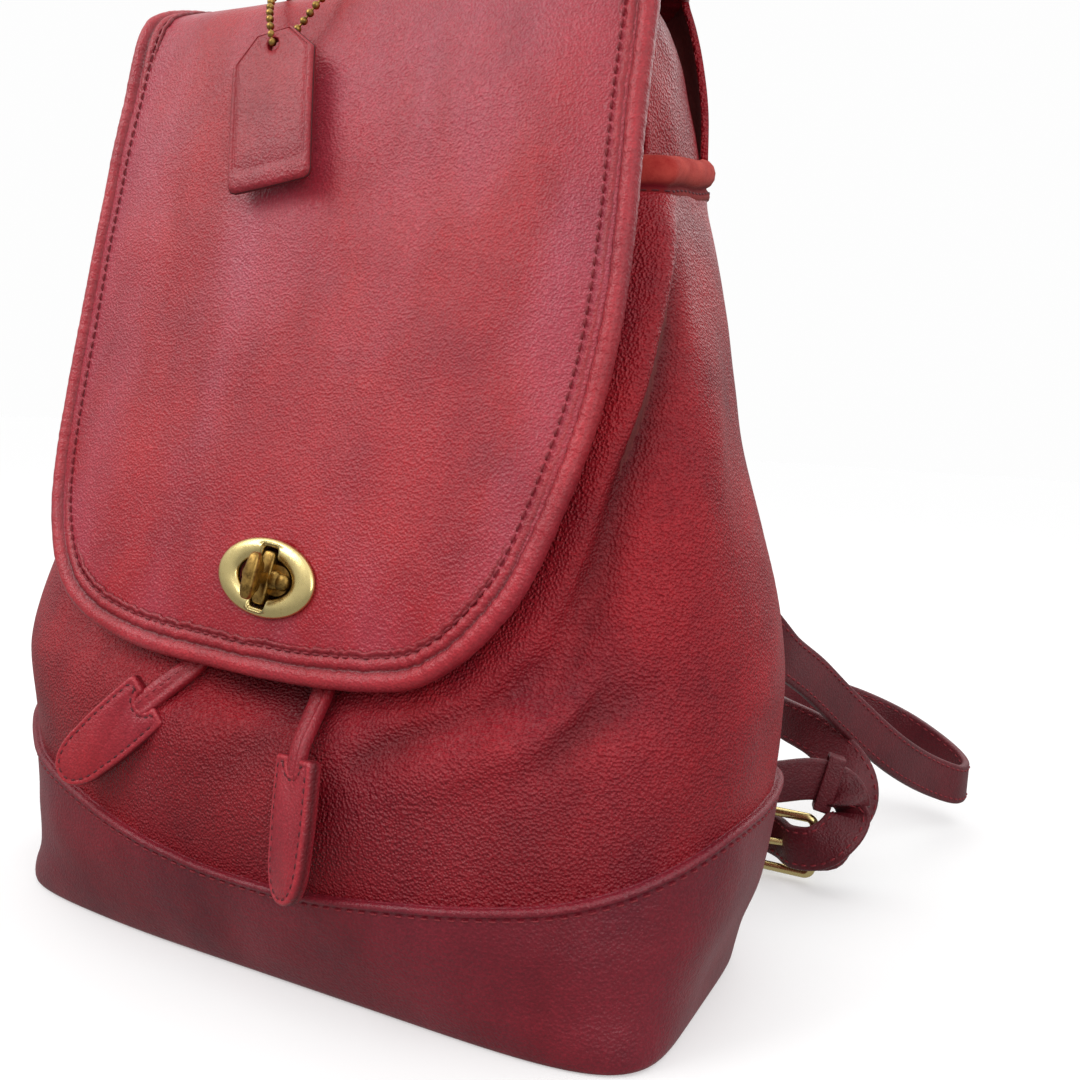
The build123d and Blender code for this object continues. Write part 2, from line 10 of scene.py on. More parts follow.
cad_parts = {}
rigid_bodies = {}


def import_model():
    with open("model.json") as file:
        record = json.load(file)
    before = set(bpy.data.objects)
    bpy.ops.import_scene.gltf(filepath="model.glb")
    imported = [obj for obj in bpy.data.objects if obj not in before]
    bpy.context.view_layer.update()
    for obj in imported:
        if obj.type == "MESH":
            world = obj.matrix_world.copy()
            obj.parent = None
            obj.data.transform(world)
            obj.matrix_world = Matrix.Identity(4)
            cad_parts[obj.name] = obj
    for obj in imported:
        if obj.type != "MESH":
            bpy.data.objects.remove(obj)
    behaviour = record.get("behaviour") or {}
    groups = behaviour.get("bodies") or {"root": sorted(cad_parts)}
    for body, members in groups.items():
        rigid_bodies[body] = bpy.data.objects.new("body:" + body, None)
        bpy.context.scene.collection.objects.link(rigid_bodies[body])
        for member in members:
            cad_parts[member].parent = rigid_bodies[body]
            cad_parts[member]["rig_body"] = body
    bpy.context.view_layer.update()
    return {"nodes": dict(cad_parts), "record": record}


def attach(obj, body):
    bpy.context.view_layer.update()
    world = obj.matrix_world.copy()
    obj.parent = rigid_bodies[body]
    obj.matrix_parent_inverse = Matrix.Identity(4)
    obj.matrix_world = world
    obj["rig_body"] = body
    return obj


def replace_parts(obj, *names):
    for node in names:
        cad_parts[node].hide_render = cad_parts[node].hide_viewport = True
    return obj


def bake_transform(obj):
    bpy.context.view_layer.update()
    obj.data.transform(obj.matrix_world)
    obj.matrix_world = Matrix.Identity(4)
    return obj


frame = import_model()
MM = 0.001
SCENE = bpy.context.scene


# ---- camera -------------------------------------------------------------
CAMERA_PLACE = (213.7, -317.3, 174.4)
CAMERA_YAW, CAMERA_PITCH, CAMERA_ROLL = (math.radians(a) for a in (25.72, -5.86, 3.28))


def make_camera():
    data = bpy.data.cameras.new("camera")
    data.lens, data.sensor_width = 36.2, 36.0
    data.clip_start, data.clip_end = 0.01, 50
    camera = bpy.data.objects.new("camera", data)
    SCENE.collection.objects.link(camera)
    sin_yaw, cos_yaw = math.sin(CAMERA_YAW), math.cos(CAMERA_YAW)
    sin_pitch, cos_pitch = math.sin(CAMERA_PITCH), math.cos(CAMERA_PITCH)
    ahead = Vector((-sin_yaw * cos_pitch, cos_yaw * cos_pitch, sin_pitch))
    level = Vector((cos_yaw, sin_yaw, 0))
    above = level.cross(ahead)
    right = level * math.cos(CAMERA_ROLL) + above * math.sin(CAMERA_ROLL)
    up = above * math.cos(CAMERA_ROLL) - level * math.sin(CAMERA_ROLL)
    turn = Matrix((right, up, -ahead)).transposed().to_4x4()
    camera.matrix_world = Matrix.Translation(Vector(CAMERA_PLACE) * MM) @ turn
    SCENE.camera = camera


make_camera()


# ---- curves and meshes --------------------------------------------------
def unit(rows):
    rows = np.asarray(rows, float)
    return rows / np.maximum(np.linalg.norm(rows, axis=-1, keepdims=True), 1e-9)


def smooth(points, per_span=12):
    """A centripetal Catmull-Rom curve through points of any dimension."""
    points = np.asarray(points, float)
    padded = np.vstack([2 * points[0] - points[1], points, 2 * points[-1] - points[-2]])
    knots = np.concatenate([[0], np.cumsum(np.linalg.norm(np.diff(padded, axis=0), axis=1) ** 0.5 + 1e-6)])
    out = []
    for i in range(1, len(padded) - 2):
        t0, t1, t2, t3 = knots[i - 1 : i + 3]
        p0, p1, p2, p3 = padded[i - 1 : i + 3]
        t = np.linspace(t1, t2, per_span, endpoint=False)[:, None]
        a1 = (t1 - t) / (t1 - t0) * p0 + (t - t0) / (t1 - t0) * p1
        a2 = (t2 - t) / (t2 - t1) * p1 + (t - t1) / (t2 - t1) * p2
        a3 = (t3 - t) / (t3 - t2) * p2 + (t - t2) / (t3 - t2) * p3
        b1 = (t2 - t) / (t2 - t0) * a1 + (t - t0) / (t2 - t0) * a2
        b2 = (t3 - t) / (t3 - t1) * a2 + (t - t1) / (t3 - t1) * a3
        out.append((t2 - t) / (t2 - t1) * b1 + (t - t1) / (t2 - t1) * b2)
    return np.vstack(out + [points[-1:]])


def lengths(points):
    return np.concatenate([[0], np.cumsum(np.linalg.norm(np.diff(points, axis=0), axis=1))])


def resample(points, step, *others):
    """Points, and any rows that go with them, at an even spacing near step."""
    along = lengths(points)
    count = max(int(round(along[-1] / step)), 2)
    spots = np.linspace(0, along[-1], count + 1)
    pick = [np.column_stack([np.interp(spots, along, rows[:, k]) for k in range(rows.shape[1])])
            for rows in (points, *others)]
    return pick if others else pick[0]


def step_up(value, low, high):
    """0 below low, 1 above high, and a smooth rise between them."""
    t = np.clip((np.asarray(value, float) - low) / (high - low), 0, 1)
    return t * t * (3 - 2 * t)


def ripple(points, size, seed=0.0):
    """Smooth noise from -1 to 1 at each point, with bumps about size mm wide."""
    shift = Vector((seed, 2.3 * seed, -1.7 * seed))
    return np.array([noise.noise(Vector(p) / size + shift) for p in np.asarray(points).reshape(-1, 3)])


def piece(name, points, faces, material, body, slot, second=None, second_faces=()):
    """A mesh object from mm points; second is the material of the faces numbered in second_faces."""
    mesh = bpy.data.meshes.new(name)
    mesh.from_pydata((np.asarray(points, float) * MM).tolist(), [], [list(f) for f in faces])
    mesh.materials.append(material)
    if second is not None:
        mesh.materials.append(second)
        for index in second_faces:
            mesh.polygons[index].material_index = 1
    mesh.polygons.foreach_set("use_smooth", [True] * len(mesh.polygons))
    mesh.update()
    obj = bpy.data.objects.new(name, mesh)
    SCENE.collection.objects.link(obj)
    if body:
        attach(obj, body)
    return obj


def grid_faces(rows, columns, wrap=False):
    faces = []
    for r in range(rows - 1):
        for c in range(columns if wrap else columns - 1):
            d = (c + 1) % columns
            faces.append((r * columns + c, r * columns + d, (r + 1) * columns + d, (r + 1) * columns + c))
    return faces


def slab(name, outer, inner, faces, materials, body, slot):
    """A closed sheet between two matching sets of points; materials are the outer and the inner one."""
    count = len(outer)
    used = {}
    for face in faces:
        for a, b in zip(face, face[1:] + face[:1]):
            used[(a, b)] = face
    rims = [(b, a, a + count, b + count) for a, b in used if (b, a) not in used]
    back = [tuple(count + i for i in reversed(face)) for face in faces]
    everything = list(faces) + rims + back
    inner_faces = range(len(faces) + len(rims), len(everything))
    points = np.vstack([outer, inner])
    keep = sorted({i for face in everything for i in face})
    place = {old: new for new, old in enumerate(keep)}
    everything = [tuple(place[i] for i in face) for face in everything]
    return piece(name, points[keep], everything, materials[0], body, slot, materials[1], inner_faces)


def sweep(name, centres, across, out, profile, material, body, slot, closed=False, scale=None):
    """A closed profile of (across, out) points carried along centres."""
    profile = np.asarray(profile, float)
    if scale is None:
        scale = np.ones(len(centres))
    rings = (
        centres[:, None]
        + across[:, None] * profile[None, :, :1] * scale[:, None, None]
        + out[:, None] * profile[None, :, 1:] * scale[:, None, None]
    )
    rows, columns = rings.shape[:2]
    faces = grid_faces(rows, columns, wrap=True)
    if closed:
        last = (rows - 1) * columns
        faces += [(last + c, last + (c + 1) % columns, (c + 1) % columns, c) for c in range(columns)]
    else:
        faces.append(tuple(reversed(range(columns))))
        faces.append(tuple(range((rows - 1) * columns, rows * columns)))
    return piece(name, rings.reshape(-1, 3), faces, material, body, slot)


def rounded(width, thick, edge, per_corner=4):
    """The outline of a strap's section with rounded edges."""
    points = []
    for cx, cy, start in ((1, 1, 0), (-1, 1, 90), (-1, -1, 180), (1, -1, 270)):
        for i in range(per_corner + 1):
            angle = math.radians(start + 90 * i / per_corner)
            points.append((cx * (width / 2 - edge) + edge * math.cos(angle),
                           cy * (thick / 2 - edge) + edge * math.sin(angle)))
    return points


def frames(centres, hints):
    """Unit across and out vectors along a route, from a hint of which way the width lies."""
    along = unit(np.gradient(centres, axis=0))
    across = unit(hints - along * np.sum(hints * along, axis=1, keepdims=True))
    return along, across, np.cross(along, across)


STITCH_SIDES, STITCH_RINGS = 6, 5


def stitches(name, path, normals, material, body, slot, pitch=4.0, length=3.0, radius=0.42, sink=0.12):
    """A row of thread stitches along a path, each a short rounded bead that dips in at its ends."""
    spots, facing = resample(path, pitch, normals)
    along = unit(np.gradient(spots, axis=0))
    facing = unit(facing)
    points, faces = [], []
    for centre, ahead, up in zip(spots[1:-1], along[1:-1], facing[1:-1]):
        side = np.cross(ahead, up)
        first = len(points)
        for ring in range(STITCH_RINGS):
            t = -1 + 2 * ring / (STITCH_RINGS - 1)
            thick = radius * (1 - 0.72 * t**4)
            middle = centre + ahead * t * length / 2 + up * (radius * 0.5 - sink - 0.45 * t**4)
            for k in range(STITCH_SIDES):
                angle = 2 * math.pi * k / STITCH_SIDES
                points.append(middle + side * thick * math.cos(angle) + up * thick * math.sin(angle))
        for ring in range(STITCH_RINGS - 1):
            for k in range(STITCH_SIDES):
                a, b = first + ring * STITCH_SIDES + k, first + ring * STITCH_SIDES + (k + 1) % STITCH_SIDES
                faces.append((a, b, b + STITCH_SIDES, a + STITCH_SIDES))
        faces.append(tuple(first + k for k in reversed(range(STITCH_SIDES))))
        top = first + (STITCH_RINGS - 1) * STITCH_SIDES
        faces.append(tuple(top + k for k in range(STITCH_SIDES)))
    return piece(name, points, faces, material, body, slot)


# ---- materials ----------------------------------------------------------
def srgb(red, green, blue):
    def line(v):
        v /= 255
        return v / 12.92 if v <= 0.04045 else ((v + 0.055) / 1.055) ** 2.4

    return line(red), line(green), line(blue), 1


def new_material(name):
    material = bpy.data.materials.new(name)
    material.use_nodes = True
    nodes = material.node_tree.nodes
    return material, nodes, material.node_tree.links, nodes["Principled BSDF"]


def add_node(nodes, kind, **values):
    node = nodes.new(kind)
    for key, value in values.items():
        if key in node.inputs:
            node.inputs[key].default_value = value
        else:
            setattr(node, key, value)
    return node


def noise_node(nodes, links, where, scale, detail, rough=0.5):
    node = add_node(nodes, "ShaderNodeTexNoise")
    node.inputs["Scale"].default_value = scale
    node.inputs["Detail"].default_value = detail
    node.inputs["Roughness"].default_value = rough
    links.new(where, node.inputs["Vector"])
    return node.outputs["Fac"]


def ramp_node(nodes, links, source, stops):
    node = add_node(nodes, "ShaderNodeValToRGB")
    elements = node.color_ramp.elements
    while len(elements) < len(stops):
        elements.new(0.5)
    for element, (spot, colour) in zip(elements, stops):
        element.position, element.color = spot, colour
    links.new(source, node.inputs["Fac"])
    return node.outputs["Color"]


def mix_colour(nodes, links, share, first, second):
    node = add_node(nodes, "ShaderNodeMix", data_type="RGBA")
    for socket, value in ((node.inputs[0], share), (node.inputs[6], first), (node.inputs[7], second)):
        if isinstance(value, (float, int, tuple)):
            socket.default_value = value
        else:
            links.new(value, socket)
    return node.outputs[2]


def scaled(nodes, links, source, low, high, out_low, out_high):
    node = add_node(nodes, "ShaderNodeMapRange")
    for key, value in (("From Min", low), ("From Max", high), ("To Min", out_low), ("To Max", out_high)):
        node.inputs[key].default_value = value
    links.new(source, node.inputs["Value"])
    return node.outputs["Result"]


def add_bumps(nodes, links, shader, layers):
    """Bump layers, each (height, strength, distance in metres), one over the other."""
    normal = None
    for height, strength, distance in layers:
        bump = add_node(nodes, "ShaderNodeBump")
        bump.inputs["Strength"].default_value = strength
        bump.inputs["Distance"].default_value = distance
        links.new(height, bump.inputs["Height"])
        if normal is not None:
            links.new(normal, bump.inputs["Normal"])
        normal = bump.outputs["Normal"]
    links.new(normal, shader.inputs["Normal"])


# Colour of the painted sheen: pale pink streaks mixed into the leather where its gloss would catch the light
SHEEN_STREAK_COLOUR = srgb(188, 78, 98)


def leather(name, main, worn, deep, pebble=0.5, pebble_size=1.3, roughness=0.46, sheen=0.04, painted_sheen=0.0, shine=0.4):
    """Dyed leather: cloudy colour, streaks of painted sheen, fine pores, a pebbled grain, painted shade and dark dye
    from the mesh's own shade values, and wear from its rubbed values.
    """
    material, nodes, links, shader = new_material(name)
    where = add_node(nodes, "ShaderNodeTexCoord").outputs["Object"]
    stretch = add_node(nodes, "ShaderNodeMapping")
    stretch.inputs["Scale"].default_value = (1, 0.6, 0.4)
    links.new(where, stretch.inputs["Vector"])
    cloud = noise_node(nodes, links, where, 24, 6, 0.66)
    streak = noise_node(nodes, links, stretch.outputs["Vector"], 90, 5, 0.62)
    broad = noise_node(nodes, links, stretch.outputs["Vector"], 21, 3, 0.5)
    colour = ramp_node(nodes, links, cloud, [(0.28, deep), (0.50, main), (0.72, worn)])
    fleck = scaled(nodes, links, streak, 0.42, 0.72, 0.0, 0.45)
    colour = mix_colour(nodes, links, fleck, colour, worn)
    # painted sheen: broad stretched streaks of pale pink in the colour
    sheen_streak_share = scaled(nodes, links, broad, 0.46, 0.68, 0.0, painted_sheen)
    colour = mix_colour(nodes, links, sheen_streak_share, colour, SHEEN_STREAK_COLOUR)
    # painted shade in creases, hollows, grooves and low on the front, and the dark dye of raw edges, from the mesh's
    # shade values
    shade_and_dye = add_node(nodes, "ShaderNodeAttribute", attribute_name="shade_and_dye").outputs["Fac"]
    dark = tuple(0.42 * c for c in deep[:3]) + (1,)
    colour = mix_colour(nodes, links, shade_and_dye, colour, dark)
    rubbed = add_node(nodes, "ShaderNodeAttribute", attribute_name="rubbed").outputs["Fac"]
    colour = mix_colour(nodes, links, rubbed, colour, tuple(min(1, 1.5 * c + 0.01) for c in worn[:3]) + (1,))
    cells = add_node(nodes, "ShaderNodeTexVoronoi", feature="SMOOTH_F1")
    cells.inputs["Scale"].default_value = 1 / (pebble_size * MM)
    cells.inputs["Smoothness"].default_value = 0.35
    links.new(where, cells.inputs["Vector"])
    grain = noise_node(nodes, links, where, 1000, 4, 0.62)
    colour = mix_colour(nodes, links, scaled(nodes, links, grain, 0.44, 0.66, 0.3, 0.0), colour, dark)
    creases = noise_node(nodes, links, where, 190, 7, 0.66)
    layers = [(creases, 0.36, 0.0009), (cells.outputs["Distance"], pebble, 0.0008), (grain, 0.4, 0.0006)]
    add_bumps(nodes, links, shader, layers)
    links.new(colour, shader.inputs["Base Color"])
    links.new(scaled(nodes, links, broad, 0.3, 0.7, roughness + 0.07, roughness - 0.1), shader.inputs["Roughness"])
    shader.inputs["Specular IOR Level"].default_value = shine
    shader.inputs["Sheen Weight"].default_value = sheen
    shader.inputs["Sheen Roughness"].default_value = 0.45
    shader.inputs["Sheen Tint"].default_value = (1.0, 0.78, 0.78, 1)
    return material


def suede(name, main, light):
    material, nodes, links, shader = new_material(name)
    where = add_node(nodes, "ShaderNodeTexCoord").outputs["Object"]
    patch = noise_node(nodes, links, where, 120, 5, 0.7)
    nap = noise_node(nodes, links, where, 1900, 4, 0.7)
    colour = ramp_node(nodes, links, patch, [(0.35, main), (0.68, light)])
    shade_and_dye = add_node(nodes, "ShaderNodeAttribute", attribute_name="shade_and_dye").outputs["Fac"]
    colour = mix_colour(nodes, links, shade_and_dye, colour, srgb(104, 12, 26))
    links.new(colour, shader.inputs["Base Color"])
    add_bumps(nodes, links, shader, [(patch, 0.35, 0.0006), (nap, 0.6, 0.0003)])
    shader.inputs["Roughness"].default_value = 0.92
    shader.inputs["Specular IOR Level"].default_value = 0.1
    shader.inputs["Sheen Weight"].default_value = 0.15
    shader.inputs["Sheen Roughness"].default_value = 0.5
    shader.inputs["Sheen Tint"].default_value = (1.0, 0.6, 0.5, 1)
    return material


def brass(name, bright, aged, aging, roughness):
    """Brass with tarnish in patches; aging is how much of it is dark."""
    material, nodes, links, shader = new_material(name)
    where = add_node(nodes, "ShaderNodeTexCoord").outputs["Object"]
    patch = noise_node(nodes, links, where, 420, 6, 0.7)
    scratch = noise_node(nodes, links, where, 1900, 3, 0.6)
    stops = [(max(aging - 0.16, 0), aged), (min(aging + 0.12, 1), bright)]
    links.new(ramp_node(nodes, links, patch, stops), shader.inputs["Base Color"])
    links.new(scaled(nodes, links, patch, 0.3, 0.7, roughness + 0.16, roughness), shader.inputs["Roughness"])
    add_bumps(nodes, links, shader, [(scratch, 0.08, 0.0001), (patch, 0.10, 0.0003)])
    shader.inputs["Metallic"].default_value = 1
    return material


def plain(name, colour, roughness):
    material, nodes, links, shader = new_material(name)
    where = add_node(nodes, "ShaderNodeTexCoord").outputs["Object"]
    fibre = noise_node(nodes, links, where, 1500, 3)
    dark = tuple(0.6 * c for c in colour[:3]) + (1,)
    links.new(ramp_node(nodes, links, fibre, [(0.3, dark), (0.7, colour)]), shader.inputs["Base Color"])
    add_bumps(nodes, links, shader, [(fibre, 0.3, 0.0002)])
    shader.inputs["Roughness"].default_value = roughness
    return material


LEATHER = leather("leather_body", srgb(160, 22, 35), srgb(186, 34, 44), srgb(126, 17, 33),
                  pebble=0.85, pebble_size=0.85, roughness=0.42, sheen=0.0, painted_sheen=0.1, shine=0.3)
FLAP_LEATHER = leather("leather_flap", srgb(168, 26, 40), srgb(188, 40, 48), srgb(146, 24, 42),
                       pebble=0.34, pebble_size=0.8, roughness=0.36, sheen=0.03, painted_sheen=0.7)
# Painted shade: the band and base leather is a darker copy of the body leather, for faces that turn down to the floor
SHADED_BAND_LEATHER = leather("leather_band_painted_shade", srgb(118, 17, 33), srgb(136, 25, 40), srgb(94, 15, 32),
                       pebble=0.3, pebble_size=0.9, roughness=0.42, sheen=0.01, painted_sheen=0.1)
TRIM = leather("leather_trim", srgb(156, 25, 38), srgb(178, 42, 51), srgb(128, 18, 32),
               pebble=0.25, pebble_size=0.8, roughness=0.38, sheen=0.02, painted_sheen=0.2)
STRAP = leather("leather_strap", srgb(94, 17, 29), srgb(116, 28, 39), srgb(74, 13, 24),
                pebble=0.25, pebble_size=0.9, roughness=0.4)
LINING = leather("leather_lining", srgb(160, 62, 60), srgb(178, 84, 78), srgb(134, 46, 48),
                 pebble=0.1, roughness=0.8, sheen=0.15)
EDGE = plain("leather_raw_edge", srgb(92, 22, 30), 0.75)
SUEDE = suede("suede_edge", srgb(166, 44, 42), srgb(196, 74, 66))
THREAD = plain("thread", srgb(142, 32, 44), 0.7)
DARK_THREAD = plain("thread_dark", srgb(96, 16, 28), 0.7)
BRASS = brass("brass_bright", srgb(226, 205, 142), srgb(150, 118, 58), 0.30, 0.2)
OLD_BRASS = brass("brass_antique", srgb(176, 140, 76), srgb(78, 56, 28), 0.46, 0.32)
BOARD = plain("board", srgb(70, 64, 58), 0.9)

CAD_FINISH = {
    "leather_body": LEATHER, "leather_trim": TRIM, "leather_strap": STRAP, "leather_lining": LINING,
    "suede_edge": SUEDE, "brass_bright": BRASS, "brass_antique": OLD_BRASS, "board": BOARD,
}
for part in frame["record"]["subparts"]:
    node = frame["nodes"][part["node"]]
    node.data.materials.clear()
    node.data.materials.append(CAD_FINISH[part["material_slot"]])


# ---- bag body -----------------------------------------------------------
# height, half width, front depth, back depth, front and back squareness
BODY = smooth([
    (0, 126, 59, 61, 7.0, 4.4), (14, 128.4, 65, 62, 4.4, 4.0), (35, 135.2, 71.5, 62, 3.0, 3.7),
    (60, 138.6, 72.5, 62, 2.6, 3.6), (85, 140, 67, 62, 2.55, 3.6), (100, 140, 59, 62, 2.6, 3.6),
    (116, 137, 54, 62, 2.7, 3.6), (145, 128, 48, 62, 2.8, 4.0), (175, 118.2, 42, 62, 2.8, 4.5),
    (205, 110.8, 34, 62, 2.7, 5.0), (233, 103.6, 25, 62, 2.5, 5.4), (252, 97.6, 17, 61.8, 2.3, 5.8),
    (265, 96.2, 13.5, 61.5, 2.3, 6.5), (284, 95.0, 13, 61, 2.3, 6.5), (300, 91.8, 13, 61, 2.3, 6.5),
    (311, 88.6, 13, 60.5, 2.3, 6.5), (319, 85.5, 13, 60, 2.3, 6.5),
])
SEAM_Y = 54.0
LEATHER_THICK = 2.2
# Ridges and creases in the leather: height out of the surface, half width, then a line of points
FOLDS = [
    (9.5, 8.0, [(94, -2, 256), (98, -10, 242), (99, -17, 222), (98.5, -25, 203), (97.5, -32, 184), (95, -40, 164),
                (91, -47, 139), (80, -53, 116), (66, -59, 100), (50, -63, 92)]),
    (-8.0, 5.0, [(106, 4, 250), (108, -4, 240), (109, -12, 222), (108.5, -18, 206), (107.5, -25, 190),
                 (105, -31, 174), (101, -38, 156), (98, -43, 138), (92, -48, 122)]),
    (3.4, 12.0, [(112, 26, 232), (117, 10, 206), (119, -4, 184), (117, -16, 160), (112, -30, 136)]),
    (-3.0, 4.5, [(92, -49, 113), (80, -57, 102), (62, -64, 91), (44, -68, 80), (36, -70, 74)]),
    (3.2, 8.0, [(104, -47, 104), (88, -58, 92), (68, -66, 80), (46, -71, 69)]),
    (-2.6, 4.5, [(114, -36, 108), (104, -49, 94), (90, -59, 80)]),
    (2.2, 14.0, [(130, 14, 150), (136, 6, 118), (136, -6, 92)]),
    (-3.4, 6.0, [(-102, -22, 206), (-107, -25, 170), (-107, -32, 140), (-101, -42, 116), (-88, -53, 100)]),
    (4.5, 8.0, [(-98, -20, 214), (-99, -28, 180), (-97, -38, 148), (-90, -48, 122), (-76, -57, 104)]),
    (-2.0, 6.0, [(-127, -20, 110), (-124, -32, 86), (-116, -42, 62)]),
    (-2.6, 8.0, [(-117, -44, 40), (-113, -45, 20), (-109, -44, 4)]),
    (1.8, 9.0, [(-60, -66, 90), (-30, -71, 76), (0, -72, 70)]),
    (-1.6, 7.0, [(20, -63, 93), (10, -70, 80), (-14, -72, 66)]),
    (-2.2, 2.6, [(97, -42, 150), (94, -47, 128), (86, -54, 110), (74, -61, 98)]),
    (-2.0, 2.4, [(104, -35, 152), (101, -42, 126), (95, -50, 106), (84, -59, 92)]),
    (-1.8, 2.4, [(110, -28, 142), (108, -38, 118), (102, -47, 99), (94, -54, 88)]),
    (-1.6, 2.2, [(113, -14, 176), (113, -22, 152), (112, -31, 128)]),
    (-1.8, 2.3, [(80, -56, 112), (68, -61, 103), (54, -66, 94)]),
    (-1.6, 2.2, [(99, -44, 128), (97, -49, 112), (91, -54, 100)]),
    (-1.6, 2.4, [(-96, -46, 124), (-90, -52, 108), (-80, -59, 96)]),
    (-1.6, 2.4, [(-104, -36, 140), (-102, -44, 116), (-94, -52, 99)]),
]
FOLDS = [(height, width, smooth(line, 8)) for height, width, line in FOLDS]


LEFT_CORNER = math.radians(-159)  # the softer corner: it is pulled in at the base and bulges above the band


def section(heights):
    heights = np.asarray(heights, float)
    return [np.interp(heights, BODY[:, 0], BODY[:, k]) for k in range(1, 6)]


def ring_points(turns, heights, out=0.0):
    """Points of the bag's outline, pushed out by some mm. A turn of 0 is the +X side and -90 degrees the front."""
    half, front, back, square, back_square = section(heights)
    cos, sin = np.cos(turns), np.sin(turns)
    rear = sin > 0
    power = np.where(rear, back_square, square)
    depth = np.where(rear, back, front) + out
    reach = (np.abs(cos / (half + out)) ** power + np.abs(sin / depth) ** power) ** (-1 / power)
    from_corner = np.angle(np.exp(1j * (np.asarray(turns) - LEFT_CORNER)))
    reach = reach * (1 - 0.062 * np.exp(-((from_corner / 0.36) ** 2)) * (1 - step_up(heights, 14, 98)))
    bulge = step_up(heights, 48, 90) * (1 - step_up(heights, 92, 135))
    reach = reach * (1 + 0.032 * np.exp(-((from_corner / 0.5) ** 2)) * bulge)
    return np.stack([reach * cos, reach * sin, np.broadcast_to(heights, np.shape(reach))], axis=-1)


def fold_height(points):
    """How far the leather stands out at each point because of its folds, and how much painted shade it gets from lying
    in a crease.
    """
    flat = points.reshape(-1, 3)
    rise, dark = np.zeros(len(flat)), np.zeros(len(flat))
    for height, width, line in FOLDS:
        gap = np.linalg.norm(flat[:, None] - line[None], axis=2)
        nearest = gap.argmin(axis=1)
        along = nearest / (len(line) - 1)
        fade = np.clip(np.sin(np.pi * np.clip(along, 0.02, 0.98)), 0, 1) ** 0.6
        bump = np.exp(-((gap.min(axis=1) / width) ** 2)) * fade
        rise += height * bump
        # painted shade: the deeper the crease, the darker
        dark += max(-height, 0) / 4.5 * bump
    slow, quick = ripple(flat, 46, 3.1), ripple(flat, 17, 7.7)
    rise += 0.9 * slow + 0.35 * quick
    return rise.reshape(points.shape[:2]), dark.reshape(points.shape[:2])


def paint(obj, name, values):
    layer = obj.data.attributes.new(name, "FLOAT", "POINT")
    layer.data.foreach_set("value", np.asarray(values, np.float32))


def mouth_sag(turns):
    """How far the mouth's edge rises at the side seams and sags at the front corners."""
    degrees = np.degrees(np.abs(np.angle(np.exp(1j * (np.asarray(turns) + math.pi / 2)))))
    return np.interp(degrees, [0, 30, 60, 82, 90, 102, 112, 125], [-1.0, -2.0, -6.0, -7.2, -6.4, -2.0, 2.2, 4.4])


def gather(turns, heights):
    """The mouth's small drawn-in pleats, which fade out down the bag and round its sides."""
    front = np.clip(-np.sin(turns), 0, 1) ** 1.5
    return 2.0 * np.sin(turns * 34 + 0.6 * np.sin(turns * 9)) * front * step_up(heights, 196, 250)


def body_sheet(turns, heights, out):
    """Outer points of the body's leather, with its folds, and the painted shade of each: darker in creases and hollows
    and low on the front.
    """
    base = ring_points(turns, heights, out)
    rise, dark = fold_height(base)
    rise = rise * step_up(heights, 0, 22) * (1 - 0.95 * step_up(heights, 234, 250))
    centre = np.exp(-((base[..., 0] / 34) ** 2)) * (base[..., 1] < 0) * step_up(heights, 96, 118)
    rise = rise - 5.0 * centre * (1 - step_up(heights, 215, 250)) - 1.0 * centre
    below = np.exp(-((base[..., 0] / 38) ** 2)) * (base[..., 1] < 0)
    rise = rise - 7.5 * below * step_up(heights, 78, 93) * (1 - step_up(heights, 96, 125))
    rise = rise + gather(turns, heights)
    away = unit(base * np.array([1, 1, 0]) / np.array([1, 0.55, 1]))
    # painted shade: the front darker towards the bottom
    low = 0.5 * (1 - step_up(heights, 60, 104)) * np.clip(-np.sin(turns) * 1.4 + 0.2, 0, 1)
    # painted shade in deep hollows
    hollow = 0.75 * np.clip(-rise - 2.5, 0, 4) / 4
    return base + away * rise[..., None], np.clip(dark + low + hollow, 0, 1)


def seam_turns(heights, wing=0.0):
    """The turn of the side seam at each height; a wing brings it that many mm forward above the mouth."""
    turns = np.linspace(0.0, math.radians(80), 700)
    found = []
    for height in heights:
        y = ring_points(turns, np.full(len(turns), height))[:, 1]
        found.append(np.interp(SEAM_Y - wing * float(step_up(height, 250, 270)), y, turns))
    return np.array(found)


def panel(name, heights, front, materials, body, slot, columns=220, out=0.0):
    """The front or the back of the bag between its side seams."""
    edge = seam_turns(heights, 0.0 if front else 10.0)
    first = np.where(front, -math.pi - edge, edge)
    last = np.where(front, edge, math.pi - edge)
    share = np.linspace(0, 1, columns)[None]
    turns = first[:, None] + share * (last - first)[:, None]
    levels = np.repeat(np.asarray(heights, float)[:, None], columns, axis=1)
    if front:
        levels = levels + mouth_sag(turns) * step_up(levels, 200, 252)
    outer, dark = body_sheet(turns, levels, out)
    inner, _ = body_sheet(turns, levels, out - LEATHER_THICK)
    obj = slab(name, outer.reshape(-1, 3), inner.reshape(-1, 3), grid_faces(len(heights), columns),
               materials, body, slot)
    # painted shade from creases, hollows and the low front, on both faces of the leather
    paint(obj, "shade_and_dye", np.tile(dark.ravel(), 2) * 0.85)
    return obj


BODY_BOTTOM, MOUTH_Z = 2.7, 252.5
front_panel = panel("front_panel_leather", np.linspace(BODY_BOTTOM, MOUTH_Z, 150), True,
                    (LEATHER, LINING), "bag", "leather_body", columns=260)
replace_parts(front_panel, "front_panel")
back_panel = panel("back_panel_leather", np.linspace(BODY_BOTTOM, 319.6, 120), False,
                   (LEATHER, LINING), "bag", "leather_body", columns=120)
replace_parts(back_panel, "back_panel")

